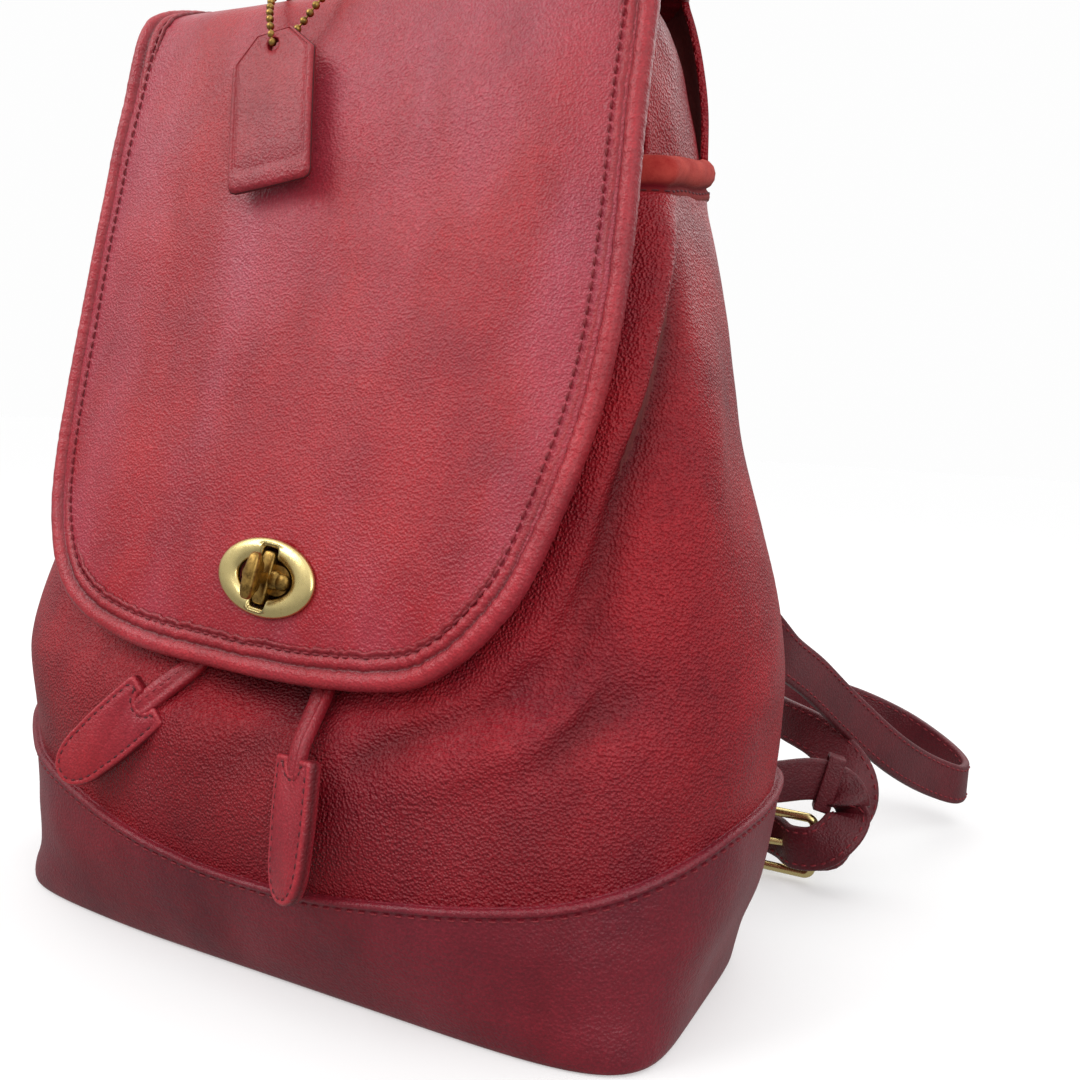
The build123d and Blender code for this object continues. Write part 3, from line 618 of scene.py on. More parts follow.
# ---- base band, with its raised sewn edge -------------------------------
BAND_EDGE = smooth([(-142, 66), (-132, 63), (-110, 54), (-81, 48.6), (-58, 43.6), (-34, 38.6), (-13, 35.8), (6, 35.2),
                    (25, 36.3), (58, 40.2), (86, 43.8), (99, 46.1), (111, 49.2), (121.5, 53.6), (131, 59.3),
                    (136, 63.5), (142, 66)], 6)
BAND_OUT = 1.9
# share of the band's height, then how far it is pushed out: tucked under at the bottom, raised at the top edge
BAND_ROWS = 34


def band(name, front, body, slot):
    edge_turn = float(seam_turns([45.0])[0])
    columns = 300 if front else 120
    turns = np.linspace(-math.pi - edge_turn, edge_turn, columns) if front \
        else np.linspace(edge_turn, math.pi - edge_turn, columns)
    at = ring_points(turns, np.full(columns, 45.0))
    tops = np.interp(at[:, 0], BAND_EDGE[:, 0], BAND_EDGE[:, 1]) if front else np.full(columns, 66.0)
    if front:
        tops = np.where(at[:, 1] > -12, np.maximum(tops, 66 - 8 * step_up(-at[:, 1], -30, 12)), tops)
    rows = [(0.0, -2.6), (0.3, -1.2), (0.9, -0.4), (2.0, -0.1), (4.0, 0.0)]
    share = np.linspace(0, 1, BAND_ROWS) ** 0.9
    levels, outs = [], []
    for height, out in rows:
        levels.append(np.full(columns, height + 0.05))
        outs.append(np.full(columns, out))
    for t in share[1:]:
        levels.append(4 + t * (tops - 4 - 1.4))
        outs.append(np.zeros(columns))
    for up, out in ((-1.3, 0.35), (-0.9, 0.75), (-0.3, 0.95), (0.3, 0.8), (0.75, 0.3), (0.9, -0.5), (0.7, -1.6)):
        levels.append(tops + up)
        outs.append(np.full(columns, out))
    levels, outs = np.array(levels), np.array(outs)
    grid = np.repeat(turns[None], len(levels), axis=0)
    outer, dark = body_sheet(grid, levels, BAND_OUT)
    away = unit(outer * np.array([1, 1, 0]))
    wave = ripple(outer, 60, 11.0).reshape(levels.shape) * 0.5
    outer = outer + away * (outs + wave * step_up(levels, 2, 12))[..., None]
    inner = outer - away * 1.7
    # painted shade: the band is made in the darker copy of the body leather
    obj = slab(name, outer.reshape(-1, 3), inner.reshape(-1, 3), grid_faces(*levels.shape),
               (SHADED_BAND_LEATHER, SHADED_BAND_LEATHER), body, slot)
    edge_rub = np.where(np.arange(len(levels))[:, None] >= len(levels) - 6, 0.08, 0.0) * np.ones(levels.shape)
    bottom_rub = 0.25 * (1 - step_up(levels, 0.5, 5)) * (0.5 + ripple(outer, 9, 5.0).reshape(levels.shape))
    paint(obj, "rubbed", np.tile(np.clip(edge_rub + bottom_rub, 0, 1).ravel(), 2))
    row = -9
    normals = away[row] * 1.0
    stitches(name + "_stitches", outer[row], normals, THREAD, body, slot, pitch=3.9, length=2.9)
    return obj


for side_name, is_front in (("front", True), ("back", False)):
    obj = band(f"base_band_{side_name}_leather", is_front, "bag", "leather_body")
    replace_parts(obj, f"base_band_{side_name}")


def base_sheet():
    """The underside: rings that shrink to the middle, with a slightly raised centre."""
    columns, rings = 160, 14
    turns = np.linspace(0, 2 * math.pi, columns, endpoint=False)
    rim = ring_points(turns, np.zeros(columns), -1.2)
    points = []
    for share in np.linspace(1, 0.04, rings):
        ring = rim * share
        ring[:, 2] = 0.25 + 1.1 * (1 - share**3) + 0.12 * ripple(ring, 20, 4.0)
        points.append(ring)
    outer = np.vstack(points)
    inner = outer + np.array([0, 0, 2.0])
    faces = grid_faces(rings, columns, wrap=True)
    faces.append(tuple((rings - 1) * columns + c for c in range(columns)))
    # painted shade: the underside is made in the darker band leather
    obj = slab("base_leather", outer, inner, [tuple(reversed(f)) for f in faces], (SHADED_BAND_LEATHER, LINING),
               "bag", "leather_body")
    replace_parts(obj, "base_panel")


base_sheet()


# ---- side seams ---------------------------------------------------------
def side_seams():
    """A flat seam where the front panel meets the back one: a raised edge and a row of stitches."""
    heights = np.linspace(5, 250, 110)
    edge = seam_turns(heights)
    for side in ("right", "left"):
        turns = edge if side == "right" else math.pi - edge
        line, _ = body_sheet(turns[:, None], heights[:, None], 0.4)
        line = line[:, 0]
        line = line + unit(line * np.array([1, 1, 0])) * (2.0 * (1 - step_up(heights, 60, 68)))[:, None]
        along, across, out = frames(line, np.tile([0.0, 1.0, 0.0], (len(line), 1)))
        facing = out if out[40][0] * line[40][0] > 0 else -out
        profile = rounded(9, 1.4, 0.6)
        sweep(f"{side}_side_seam", line, across, facing, profile, TRIM, "bag", "leather_body")
        for k, offset in enumerate((-2.6, 2.6)):
            stitches(f"{side}_side_seam_stitches_{k + 1}", line + across * offset + facing * 0.7, facing, THREAD,
                     "bag", "leather_body")


side_seams()


# ---- rolled suede hem round the front of the mouth ----------------------
HEM_PROFILE = [
    (-7.0, 0.2), (-7.1, 2.3), (-6.6, 3.2), (-5.4, 3.5), (-4.2, 3.1), (-3.4, 2.3), (-2.9, 1.9), (-2.3, 2.3), (-1.4, 3.7),
    (0.4, 4.8), (2.6, 5.0), (4.6, 4.2), (5.9, 2.6), (6.3, 0.6), (5.7, -1.3), (4.2, -2.3), (0, -2.7), (-4.2, -2.4),
    (-6.4, -1.3),
]
HEM_SHADE = {0: 0.9, 1: 0.85, 2: 0.8, 3: 0.75, 4: 0.8, 5: 0.95, 6: 1.0, 7: 0.8, 8: 0.2}


def hem():
    height = 257.9
    edge = float(seam_turns([height])[0])
    turns = np.linspace(-math.pi - edge, edge, 300)
    base = ring_points(turns, np.full(300, height), -1.6)
    away = unit(base * np.array([1, 1, 0]) / np.array([1, 0.5, 1]))
    line = base + away * (gather(turns, np.full(300, height)) * 0.9 - 0.2)[:, None]
    line[:, 2] += 0.5 * ripple(line, 22, 2.0) + 0.3 * np.sin(turns * 17) + mouth_sag(turns)
    up = np.tile([0.0, 0.0, 1.0], (300, 1))
    lumps = 1 + 0.05 * ripple(line, 7, 9.0)
    obj = sweep("hem_roll", line, up, away, HEM_PROFILE, SUEDE, "bag", "suede_edge", scale=lumps)
    paint(obj, "shade_and_dye", np.tile([HEM_SHADE.get(k, 0.0) for k in range(len(HEM_PROFILE))], len(line)))
    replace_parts(obj, "hem_band")
    groove = line + up * -4.3 + away * 3.0
    stitches("hem_stitches", groove, away, DARK_THREAD, "bag", "suede_edge", pitch=3.8)


hem()


# ---- leather that rises from the mouth's side corners to the back panel --
# height, then x and y of the hidden front edge and of the raw rear edge
GUSSET = [(252, 91, -3, 91, 44), (262, 90, -3, 91.5, 45), (274, 89, -4, 90, 43), (285, 88, -4, 87.5, 40),
          (296, 86, -5, 85, 36), (304, 83, -5, 82, 32.5), (308, 80, -5, 79.5, 30)]


def gussets():
    table = smooth(GUSSET, 6)
    across = np.linspace(0, 1, 26)
    front, rear = table[:, None, 1:3], table[:, None, 3:5]
    flat = front + (rear - front) * across[None, :, None]
    height = np.repeat(table[:, :1], len(across), axis=1)
    points = np.concatenate([flat, height[..., None]], axis=-1)
    bulge = 3.2 * np.sin(math.pi * across)[None] * np.ones_like(height)
    bulge = bulge + 0.8 * ripple(points, 13, 6.6).reshape(height.shape)
    outer = points.copy()
    outer[..., 0] += bulge
    faces = grid_faces(*height.shape)
    for side, flip in (("right", 1), ("left", -1)):
        near = outer * np.array([flip, 1, 1])
        far = near - np.array([1.8 * flip, 0, 0])
        turned = faces if flip > 0 else [tuple(reversed(f)) for f in faces]
        slab(f"{side}_mouth_gusset", near.reshape(-1, 3), far.reshape(-1, 3), turned, (LEATHER, LINING), "bag",
             "leather_body")


gussets()


# ---- flap and yoke: one sheet of leather over the front fold ------------
PROFILE = smooth([(-66, 97), (-61, 125), (-46.5, 180), (-33.5, 240), (-23, 290), (-15.8, 309.5), (-9.5, 315), (8, 321),
                  (30, 325), (48, 324), (57, 320.5)], 16)
PROFILE_RUN = lengths(PROFILE)
FLAP_THICK, FLAP_OUTER = 3.3, 1.7
RUN_END = PROFILE_RUN[-1]


def run_at(value, column):
    """Distance up the sheet at a height (column 1), or at a depth (column 0)."""
    return np.interp(value, PROFILE[:, column], PROFILE_RUN)


FLAP_RIGHT = [(0, 97), (21, 97.2), (42.5, 99), (55.6, 102), (67.7, 110), (76, 119), (83.6, 131), (91, 155), (95.8, 180),
              (98.2, 207), (98.0, 236), (96.5, 270), (95.8, 300)]
FLAP_LEFT = [(-25, 98), (-42, 99), (-55, 101), (-69, 105), (-81.6, 112), (-90, 121), (-97, 134), (-101.5, 147),
             (-106, 175), (-107, 203), (-106.5, 240), (-104.5, 275), (-102, 300)]
YOKE_RIGHT = [(95.6, -12), (95, 0), (91.5, 22), (84, 42), (76, 57)]
YOKE_LEFT = [(-100, -12), (-98, 0), (-92.5, 22), (-84, 42), (-76, 57)]


def sheet_outline():
    """The sheet's whole edge in (across, run), from the rear left round the bottom to the rear right."""
    left = [(x, run_at(y, 0)) for x, y in reversed(YOKE_LEFT)] + [(x, run_at(z, 1)) for x, z in reversed(FLAP_LEFT)]
    right = [(x, run_at(z, 1)) for x, z in FLAP_RIGHT] + [(x, run_at(y, 0)) for x, y in YOKE_RIGHT]
    return resample(smooth(left + right, 10), 2.0)


OUTLINE = sheet_outline()


def sheet_points(across, run, out):
    """Points on the sheet, out from its face. It curls back at its sides and has slow waves in it."""
    across, run = np.broadcast_arrays(np.asarray(across, float), np.asarray(run, float))
    y, z = np.interp(run, PROFILE_RUN, PROFILE[:, 0]), np.interp(run, PROFILE_RUN, PROFILE[:, 1])
    ahead = unit(np.stack([np.interp(run + 2, PROFILE_RUN, PROFILE[:, 0]) - np.interp(run - 2, PROFILE_RUN, PROFILE[:, 0]),
                           np.interp(run + 2, PROFILE_RUN, PROFILE[:, 1]) - np.interp(run - 2, PROFILE_RUN, PROFILE[:, 1])],
                          axis=-1))
    on_flap = 1 - step_up(run, run_at(280, 1), run_at(-9, 0))
    curl = 4.5 * (np.clip(np.abs(across) - 62, 0, None) / 42) ** 2 * on_flap
    hollow = 1.3 * np.exp(-((across - 14) / 26) ** 2) * on_flap * step_up(run, 55, 150)
    flat = np.stack([across, run, np.zeros_like(run)], axis=-1)
    waves = (0.9 * ripple(flat, 62, 1.3) + 0.35 * ripple(flat, 24, 6.1)).reshape(across.shape)
    lift = out - curl - hollow + waves * (0.35 + 0.65 * on_flap)
    return np.stack([across, y - ahead[..., 1] * lift, z + ahead[..., 0] * lift], axis=-1)


def sheet_normals(across, run):
    return unit(sheet_points(across, run, 1.0) - sheet_points(across, run, 0.0))


def inset_outline(distance):
    along = unit(np.gradient(OUTLINE, axis=0))
    inward = np.stack([-along[:, 1], along[:, 0]], axis=-1)
    line = OUTLINE + inward * distance
    keep = [0]
    for i in range(1, len(line)):
        if (line[i] - line[keep[-1]]) @ along[i] > 0.3:
            keep.append(i)
    return resample(line[keep], 2.0)


LOCK_CENTRE = np.array([0, -61.0, 125.0])
LOCK_TILT = math.radians(11.5)
HOLE_HALF_WIDTH, HOLE_HALF_HEIGHT = 12.2, 9.9


def drape(obj):
    """The sheet and all that is sewn to it: taken off every rigid body, with the placement baked into the points."""
    obj.parent = None
    if "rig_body" in obj:
        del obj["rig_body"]
    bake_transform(obj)
    return obj


def sheet_layer(name, near, far, inset, material, slot):
    line = inset_outline(inset)
    middle = int(np.argmin(line[:, 1]))
    left, right = line[: middle + 1][::-1], line[middle:]
    low = line[middle, 1]
    rows = np.concatenate([low + 14 * np.linspace(0, 1, 16) ** 1.8, np.linspace(low + 15.5, RUN_END, 150)])
    columns = 124
    a, b = np.interp(rows, left[:, 1], left[:, 0]), np.interp(rows, right[:, 1], right[:, 0])
    across = a[:, None] + (b - a)[:, None] * np.linspace(0, 1, columns)[None]
    run = np.repeat(rows[:, None], columns, axis=1)
    hole = (0.0, float(run_at(LOCK_CENTRE[2], 1)))
    gap = np.hypot((across - hole[0]) / HOLE_HALF_WIDTH, (run - hole[1]) / HOLE_HALF_HEIGHT)
    faces = [f for f in grid_faces(len(rows), columns) if min(gap.ravel()[i] for i in f) > 1.0]
    used = {}
    for face in faces:
        for edge in zip(face, face[1:] + face[:1]):
            used[edge] = True
    for edge in used:
        if (edge[1], edge[0]) not in used:
            for i in edge:
                if gap.ravel()[i] < 1.6:
                    across.ravel()[i] = hole[0] + (across.ravel()[i] - hole[0]) / gap.ravel()[i]
                    run.ravel()[i] = hole[1] + (run.ravel()[i] - hole[1]) / gap.ravel()[i]
                    gap.ravel()[i] = 1.0
    outer, inner = sheet_points(across, run, -near), sheet_points(across, run, -far)
    obj = slab(name, outer.reshape(-1, 3), inner.reshape(-1, 3), faces, (material, material), None, slot)
    return obj


flap_sheet = sheet_layer("flap_and_yoke_leather", 0.0, FLAP_OUTER, 3.0, FLAP_LEATHER, "leather_body")
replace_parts(drape(flap_sheet), "flap_panel", "yoke_panel")
flap_lining = sheet_layer("flap_and_yoke_lining", FLAP_OUTER, FLAP_THICK, 3.0, LINING, "leather_lining")
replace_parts(drape(flap_lining), "flap_lining", "yoke_lining")

# Binding section in (towards the edge, out of the face): a lip, a channel for the stitches, a flat roll, a groove
# and a full roll that goes round the edge
BINDING = [
    (-10.4, -0.3), (-10.3, 0.5), (-9.8, 0.95), (-9.2, 0.9), (-8.7, 0.45), (-8.0, 0.35), (-7.5, 0.75), (-6.6, 1.15),
    (-5.6, 1.1), (-4.9, 0.7), (-4.4, 0.35), (-3.9, 0.8), (-3.0, 1.75), (-1.7, 2.25), (-0.3, 2.1), (0.9, 1.3),
    (1.5, -0.2), (1.5, -1.8), (0.9, -3.2), (-0.4, -4.1), (-3, -4.3), (-6.4, -4.2), (-8.8, -3.9), (-9.4, -3.3),
    (-9.2, -1.6),
]
RUBBED_RIDGES = {6: 0.15, 7: 0.3, 8: 0.2, 12: 0.25, 13: 0.5, 14: 0.5, 15: 0.25}
# Painted shade in the binding's grooves, and the dark raw edge of its lip, for each profile point
GROOVE_SHADE_AND_RAW_EDGE = {0: 0.9, 1: 0.7, 3: 0.2, 4: 0.6, 5: 0.5, 10: 1.0, 9: 0.3, 11: 0.4}


def edge_frames(line):
    points = sheet_points(line[:, 0], line[:, 1], 0.0)
    normals = sheet_normals(line[:, 0], line[:, 1])
    along = unit(np.gradient(points, axis=0))
    outward = unit(np.cross(along, normals))
    return points, outward, normals


def binding():
    fine = resample(OUTLINE, 0.8)
    points, outward, normals = edge_frames(fine)
    creases = 1 + 0.10 * ripple(points, 1.9, 4.4) + 0.03 * ripple(points, 11, 8.8)
    obj = sweep("flap_edge_binding", points, outward, normals, BINDING, TRIM, None, "leather_trim", scale=creases)
    wear = np.repeat(0.8 + 0.6 * ripple(points, 14, 2.2), len(BINDING)).clip(0, 1.3)
    rub = np.tile([RUBBED_RIDGES.get(k, 0.0) for k in range(len(BINDING))], len(points))
    paint(obj, "rubbed", rub * wear)
    # painted shade in the grooves, and the lip's dark raw edge
    paint(obj, "shade_and_dye", np.tile([GROOVE_SHADE_AND_RAW_EDGE.get(k, 0.0) for k in range(len(BINDING))], len(points)) * 0.8)
    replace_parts(drape(obj), "flap_binding")
    points, _, normals = edge_frames(inset_outline(8.2))
    drape(stitches("flap_seam_stitches", points + normals * 0.5, normals, THREAD, None, "leather_trim",
                   pitch=3.5, length=2.8))


binding()


# ---- turnlock -----------------------------------------------------------
LOCK_OUT = np.array([0, -math.cos(LOCK_TILT), math.sin(LOCK_TILT)])
LOCK_ROLL = math.radians(7)
UPRIGHT = np.array([0, math.sin(LOCK_TILT), math.cos(LOCK_TILT)])
LOCK_SIDE = np.array([math.cos(LOCK_ROLL), 0, 0]) - UPRIGHT * math.sin(LOCK_ROLL)
LOCK_UP = UPRIGHT * math.cos(LOCK_ROLL) + np.array([math.sin(LOCK_ROLL), 0, 0])


def on_lock(x, up, out):
    x, up, out = (np.asarray(v, float)[..., None] for v in (x, up, out))
    return LOCK_CENTRE + x * LOCK_SIDE + up * LOCK_UP + out * LOCK_OUT


def lock_plate():
    """A domed oval plate with a rolled rim and a notched oval opening."""
    turns = np.linspace(0, 2 * math.pi, 144, endpoint=False)
    cos, sin = np.cos(turns), np.sin(turns)
    outer = 1 / np.hypot(cos / 18.4, sin / 11.9)
    oval = 1 / np.hypot(cos / 10.5, sin / 6.3)
    notch = np.minimum(2.9 / np.maximum(np.abs(cos), 1e-6), 9.2 / np.maximum(np.abs(sin), 1e-6))
    inner = np.maximum(oval, notch)
    for _ in range(2):
        inner = (np.roll(inner, 1) + 2 * inner + np.roll(inner, -1)) / 4
    rows = [(0, 0.2, 0.0), (0, 0.9, 0.0), (0, 1.5, -0.35), (0, 1.9, -1.0), (0, 2.05, -1.7), (0.62, 2.3, 0), (0.3, 2.35, 0),
            (1, 2.15, 1.2), (1, 1.85, 0.5), (1, 1.3, 0.05), (1, 0.4, 0.0), (1, 0.2, 0.6)]
    points = []
    for kind, height, inset in rows:
        radius = outer + inset if kind == 0 else inner + inset if kind == 1 else inner + (outer - inner) * kind
        points.append(on_lock(radius * cos, radius * sin, np.full(len(turns), height)))
    faces = grid_faces(len(rows), len(turns), wrap=True)
    last = (len(rows) - 1) * len(turns)
    faces += [(last + c, last + (c + 1) % len(turns), (c + 1) % len(turns), c) for c in range(len(turns))]
    obj = piece("turnlock_plate", np.vstack(points), faces, BRASS, "flap", "brass_bright")
    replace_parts(obj, "lock_plate")


def bead_shape(centre, axes, halves, power=0.62, rows=18, columns=28):
    """A closed rounded block: a superellipsoid on three axes."""
    faces, points = [], []
    for r in range(rows + 1):
        lift = -math.pi / 2 + math.pi * r / rows
        for c in range(columns):
            turn = 2 * math.pi * c / columns
            parts = (math.cos(lift) ** power * math.copysign(abs(math.cos(turn)) ** power, math.cos(turn)),
                     math.cos(lift) ** power * math.copysign(abs(math.sin(turn)) ** power, math.sin(turn)),
                     math.copysign(abs(math.sin(lift)) ** power, math.sin(lift)))
            points.append(centre + sum(np.asarray(a) * h * p for a, h, p in zip(axes, halves, parts)))
    faces = [tuple(reversed(f)) for f in grid_faces(rows + 1, columns, wrap=True)]
    return np.array(points), faces


def join_shapes(shapes):
    points, faces = [], []
    for some, their_faces in shapes:
        first = sum(len(p) for p in points)
        points.append(some)
        faces += [tuple(i + first for i in face) for face in their_faces]
    return np.vstack(points), faces


def turn_knob():
    axes = (LOCK_SIDE, LOCK_UP, LOCK_OUT)
    shapes = [
        bead_shape(on_lock(0, 0, 7.3), axes, (2.3, 7.2, 2.0), 0.62),
        bead_shape(on_lock(0, 0, 5.2), axes, (1.5, 5.0, 1.6), 0.6),
        bead_shape(on_lock(0, 0, 3.6), axes, (1.9, 1.9, 4.2), 0.35),
        bead_shape(on_lock(0, 0, -4.0), axes, (1.62, 1.62, 4.9), 0.2),
    ]
    obj = piece("turnlock_toggle", *join_shapes(shapes), OLD_BRASS, "knob", "brass_antique")
    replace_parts(obj, "turn_knob")


def lock_lobes():
    """The two rounded lobes of the post behind the toggle."""
    axes = (LOCK_SIDE, LOCK_UP, LOCK_OUT)
    shapes = [bead_shape(on_lock(x, 0, 0.4), axes, (half, half, 1.9), 0.85) for x, half in
              ((-6.4, 2.6), (-2.9, 3.0), (2.9, 3.0), (6.4, 2.6))]
    shapes.append(bead_shape(on_lock(0, 0, 0.9), axes, (2.4, 8.2, 1.5), 0.4))
    piece("turnlock_post_lobes", *join_shapes(shapes), OLD_BRASS, "bag", "brass_antique")


lock_plate()
turn_knob()
lock_lobes()

# ---- hang tag -----------------------------------------------------------
TAG_HOLE = np.array([-31.0, -28.0, 292.8])
TAG_LEAN = math.radians(9)
TAG_WIDTH, TAG_LENGTH, TAG_THICK, TAG_ABOVE = 32.0, 53.0, 2.8, 4.6


def tag_axes():
    slope = math.atan2(-23 + 33.5, 290 - 240)
    down = np.array([0, -math.sin(slope), -math.cos(slope)])
    down = down * math.cos(TAG_LEAN) + np.array([math.sin(TAG_LEAN), 0, 0])
    out = np.array([0, -math.cos(slope), math.sin(slope)])
    return unit(down), unit(np.cross(out, down)), out


def tag():
    """A leather tag with cut top corners, a hole, a dark line round its edge and a plain pressed border."""
    down, side, out = tag_axes()
    half, low, high = TAG_WIDTH / 2, TAG_LENGTH - TAG_ABOVE, -TAG_ABOVE
    corners = [(low, -half + 2.5), (low - 0.8, -half + 0.6), (low - 2.6, -half), (4.6, -half), (high, -half + 9),
               (high, half - 9), (4.6, half), (low - 2.6, half), (low - 0.8, half - 0.6), (low, half - 2.5)]
    edge = []
    for a, b in zip(corners, corners[1:] + corners[:1]):
        count = max(int(math.hypot(b[0] - a[0], b[1] - a[1]) / 1.2), 1)
        edge += [(a[0] + (b[0] - a[0]) * k / count, a[1] + (b[1] - a[1]) * k / count) for k in range(count)]
    edge = np.array(edge)
    turns = np.arctan2(edge[:, 1], edge[:, 0])
    hole = np.stack([2.3 * np.cos(turns), 2.3 * np.sin(turns)], axis=-1)
    shares = [0, 0.04, 0.08, 0.115, 0.13, 0.15, 0.17, 0.2, 0.3, 0.42, 0.55, 0.68, 0.8, 0.88, 0.95, 1.0]
    press = [-0.55, -0.16, 0, 0, -0.28, -0.34, -0.22, 0, 0, 0.05, 0.05, 0.05, 0, 0, -0.05, -0.35]

    def face(sign):
        rows = []
        for share, dent in zip(shares, press):
            flat = edge + (hole - edge) * share
            bow = 0.0011 * (flat[:, 1] ** 2) - 0.0006 * (flat[:, 0] - 22) ** 2
            height = sign * (TAG_THICK / 2 + (dent if sign > 0 or share < 0.1 else 0)) + bow + 0.5
            rows.append(TAG_HOLE + flat[:, :1] * down + flat[:, 1:] * side + np.asarray(height)[:, None] * out)
        return np.vstack(rows)

    count = len(edge)
    faces = grid_faces(len(shares), count, wrap=True)
    obj = slab("hang_tag_leather", face(1), face(-1), faces, (TRIM, TRIM), "tag", "leather_trim")
    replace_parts(obj, "hang_tag")
    inset = edge * 0.0
    for k in range(count):
        ahead = edge[(k + 1) % count] - edge[k - 1]
        inset[k] = edge[k] + np.array([-ahead[1], ahead[0]]) / np.hypot(*ahead) * 1.0
    layer = [(-0.25, -0.25), (0.25, -0.25), (0.25, 0.25), (-0.25, 0.25)]
    middle = TAG_HOLE + edge[:, :1] * down + edge[:, 1:] * side
    bow = 0.0011 * (edge[:, 1] ** 2) - 0.0006 * (edge[:, 0] - 22) ** 2 + 0.5
    middle = middle + np.asarray(bow)[:, None] * out
    outward = unit(middle - middle.mean(axis=0))
    sweep("hang_tag_edge_line", middle, outward, np.tile(out, (count, 1)), layer, EDGE, "tag", "leather_trim",
          closed=True)


tag()

# ---- ball chain ---------------------------------------------------------
CHAIN_OVER = [(-42, -12.5, 317.5), (-50, -1, 321.6), (-61, 14, 326.6), (-68.8, 25, 331.2), (-70, 36, 332.4),
              (-68.8, 47, 331.6), (-63, 50.6, 330.4), (-58.5, 47, 329.2), (-57, 36, 328.8), (-56.2, 25, 328.6),
              (-41, 13, 325.4), (-27, 0, 321.2), (-17.5, -12, 316.8)]
CHAIN_LEFT = [(-31.2, -29.3, 293.6), (-34.6, -26.9, 301.5), (-39.2, -21.0, 310.5), (-41.4, -14.6, 315.8)]
CHAIN_RIGHT = [(-29.4, -25.3, 294.2), (-22.5, -25.1, 300.5), (-18.0, -20.8, 309.5), (-17.2, -14.4, 315.4)]


def chain(name, routes, body):
    """Brass beads joined by short lengths of wire."""
    shapes = []
    axes = np.eye(3)
    wire = [(0.34 * math.cos(a), 0.34 * math.sin(a)) for a in np.linspace(0, 2 * math.pi, 6, endpoint=False)]
    for route in routes:
        line = resample(smooth(route, 10), 3.3)
        for spot in line:
            shapes.append(bead_shape(spot, axes, (1.3, 1.3, 1.3), 1.0, rows=10, columns=14))
        for a, b in zip(line, line[1:]):
            ahead = unit(b - a)
            side = unit(np.cross(ahead, (0.3, 0.2, 0.93)))
            up = np.cross(ahead, side)
            ring = [a + side * u + up * v for u, v in wire] + [b + side * u + up * v for u, v in wire]
            faces = [(k, (k + 1) % 6, 6 + (k + 1) % 6, 6 + k) for k in range(6)]
            shapes.append((np.array(ring), faces + [tuple(reversed(range(6))), tuple(range(6, 12))]))
    return piece(name, *join_shapes(shapes), OLD_BRASS, body, "brass_antique")


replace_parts(chain("ball_chain_over_top", [CHAIN_OVER], "yoke"), "chain_over_top")
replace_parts(chain("ball_chain_at_tag", [CHAIN_LEFT, CHAIN_RIGHT], "flap"), "chain_at_tag")

# ---- drawstrings and pull tabs ------------------------------------------
RIGHT_ROUTE = [
    (14, -15.7, 260.5), (14, -22.8, 256), (14.2, -25.4, 243), (15, -30.8, 219), (16.6, -41.5, 174), (18.8, -52.6, 131),
    (21.3, -56.9, 105), (22.4, -60.4, 93.5), (23.7, -68.6, 85), (24.6, -74.2, 78.5), (25.0, -75.6, 71.5),
]
LEFT_ROUTE = [
    (-14, -15.7, 260.5), (-14, -22.8, 256), (-14.2, -25.4, 243), (-15, -30.8, 219), (-16.2, -41.5, 174),
    (-18.5, -52.5, 131), (-23.0, -56.4, 106), (-27.0, -59.9, 94.5), (-33.5, -67.0, 87.5), (-41.5, -70.8, 79.5),
]
TAB_FACE = {"right": (-0.36, -0.92, -0.10), "left": (-0.12, -0.97, -0.12)}
TAB_ALONG = {"right": (0.05, -0.16, -0.98), "left": (-0.70, -0.20, -0.68)}
CORD_PROFILE = [(-3.6, -0.8), (-3.7, 0.7), (-3.3, 1.35), (-1.8, 1.6), (0.5, 1.6), (1.3, 1.2), (1.8, 1.8), (2.8, 1.9),
                (3.5, 1.5), (3.7, -0.7), (2.9, -1.4), (0, -1.7), (-2.8, -1.4)]


def cord_line(name, route):
    """Points along the smooth NURBS line that a route steers."""
    curve = bpy.data.curves.new(name, "CURVE")
    curve.dimensions = "3D"
    curve.resolution_u = 16
    spline = curve.splines.new("NURBS")
    spline.points.add(len(route) - 1)
    for point, place in zip(spline.points, route):
        point.co = tuple(c * MM for c in place) + (1,)
    spline.order_u = 3
    spline.use_endpoint_u = True
    holder = bpy.data.objects.new(name, curve)
    mesh = bpy.data.meshes.new_from_object(holder)
    line = np.array([v.co for v in mesh.vertices]) / MM
    bpy.data.meshes.remove(mesh)
    bpy.data.objects.remove(holder)
    bpy.data.curves.remove(curve)
    return line


def tab_frame(side):
    along = unit(TAB_ALONG[side])
    face = np.asarray(TAB_FACE[side], float)
    face = unit(face - along * (face @ along))
    return along, np.cross(face, along), face


def drawstring(side, route):
    line = resample(cord_line(f"{side}_drawstring_route", route), 1.6)
    along, tab_across, tab_face = tab_frame(side)
    share = step_up(lengths(line) / lengths(line)[-1], 0.8, 0.97)[:, None]
    hints = np.array([1.0, 0, 0]) * (1 - share) + tab_across * share
    _, across, out = frames(line, hints)
    if out[len(out) // 2][1] > 0:
        out = -out
    seated = line + out * 0.55 * share
    obj = sweep(f"{side}_drawstring_cord", seated, across, out, CORD_PROFILE, TRIM, None, "leather_trim")
    for each in (obj, stitches(f"{side}_drawstring_stitches", seated + across * -1.0 + out * 1.5, out, THREAD, None,
                               "leather_trim", pitch=2.9, length=2.2, radius=0.3)):
        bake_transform(each)
    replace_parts(obj, f"{side}_drawstring")
    return obj, line


TAB_HALF, TAB_TIP, TAB_TOP, NOTCH_HALF = 9.5, 34.5, -6.8, 3.15
# how far in from its edge, and how high above its middle, the tab's face is: a stitch channel runs round it
TAB_FACE_ROWS = [(0, 0.0), (0.0, 1.1), (0.12, 1.6), (0.45, 2.05), (0.95, 2.25), (1.45, 2.1), (1.8, 1.95), (2.1, 2.1),
                 (2.35, 2.25)]


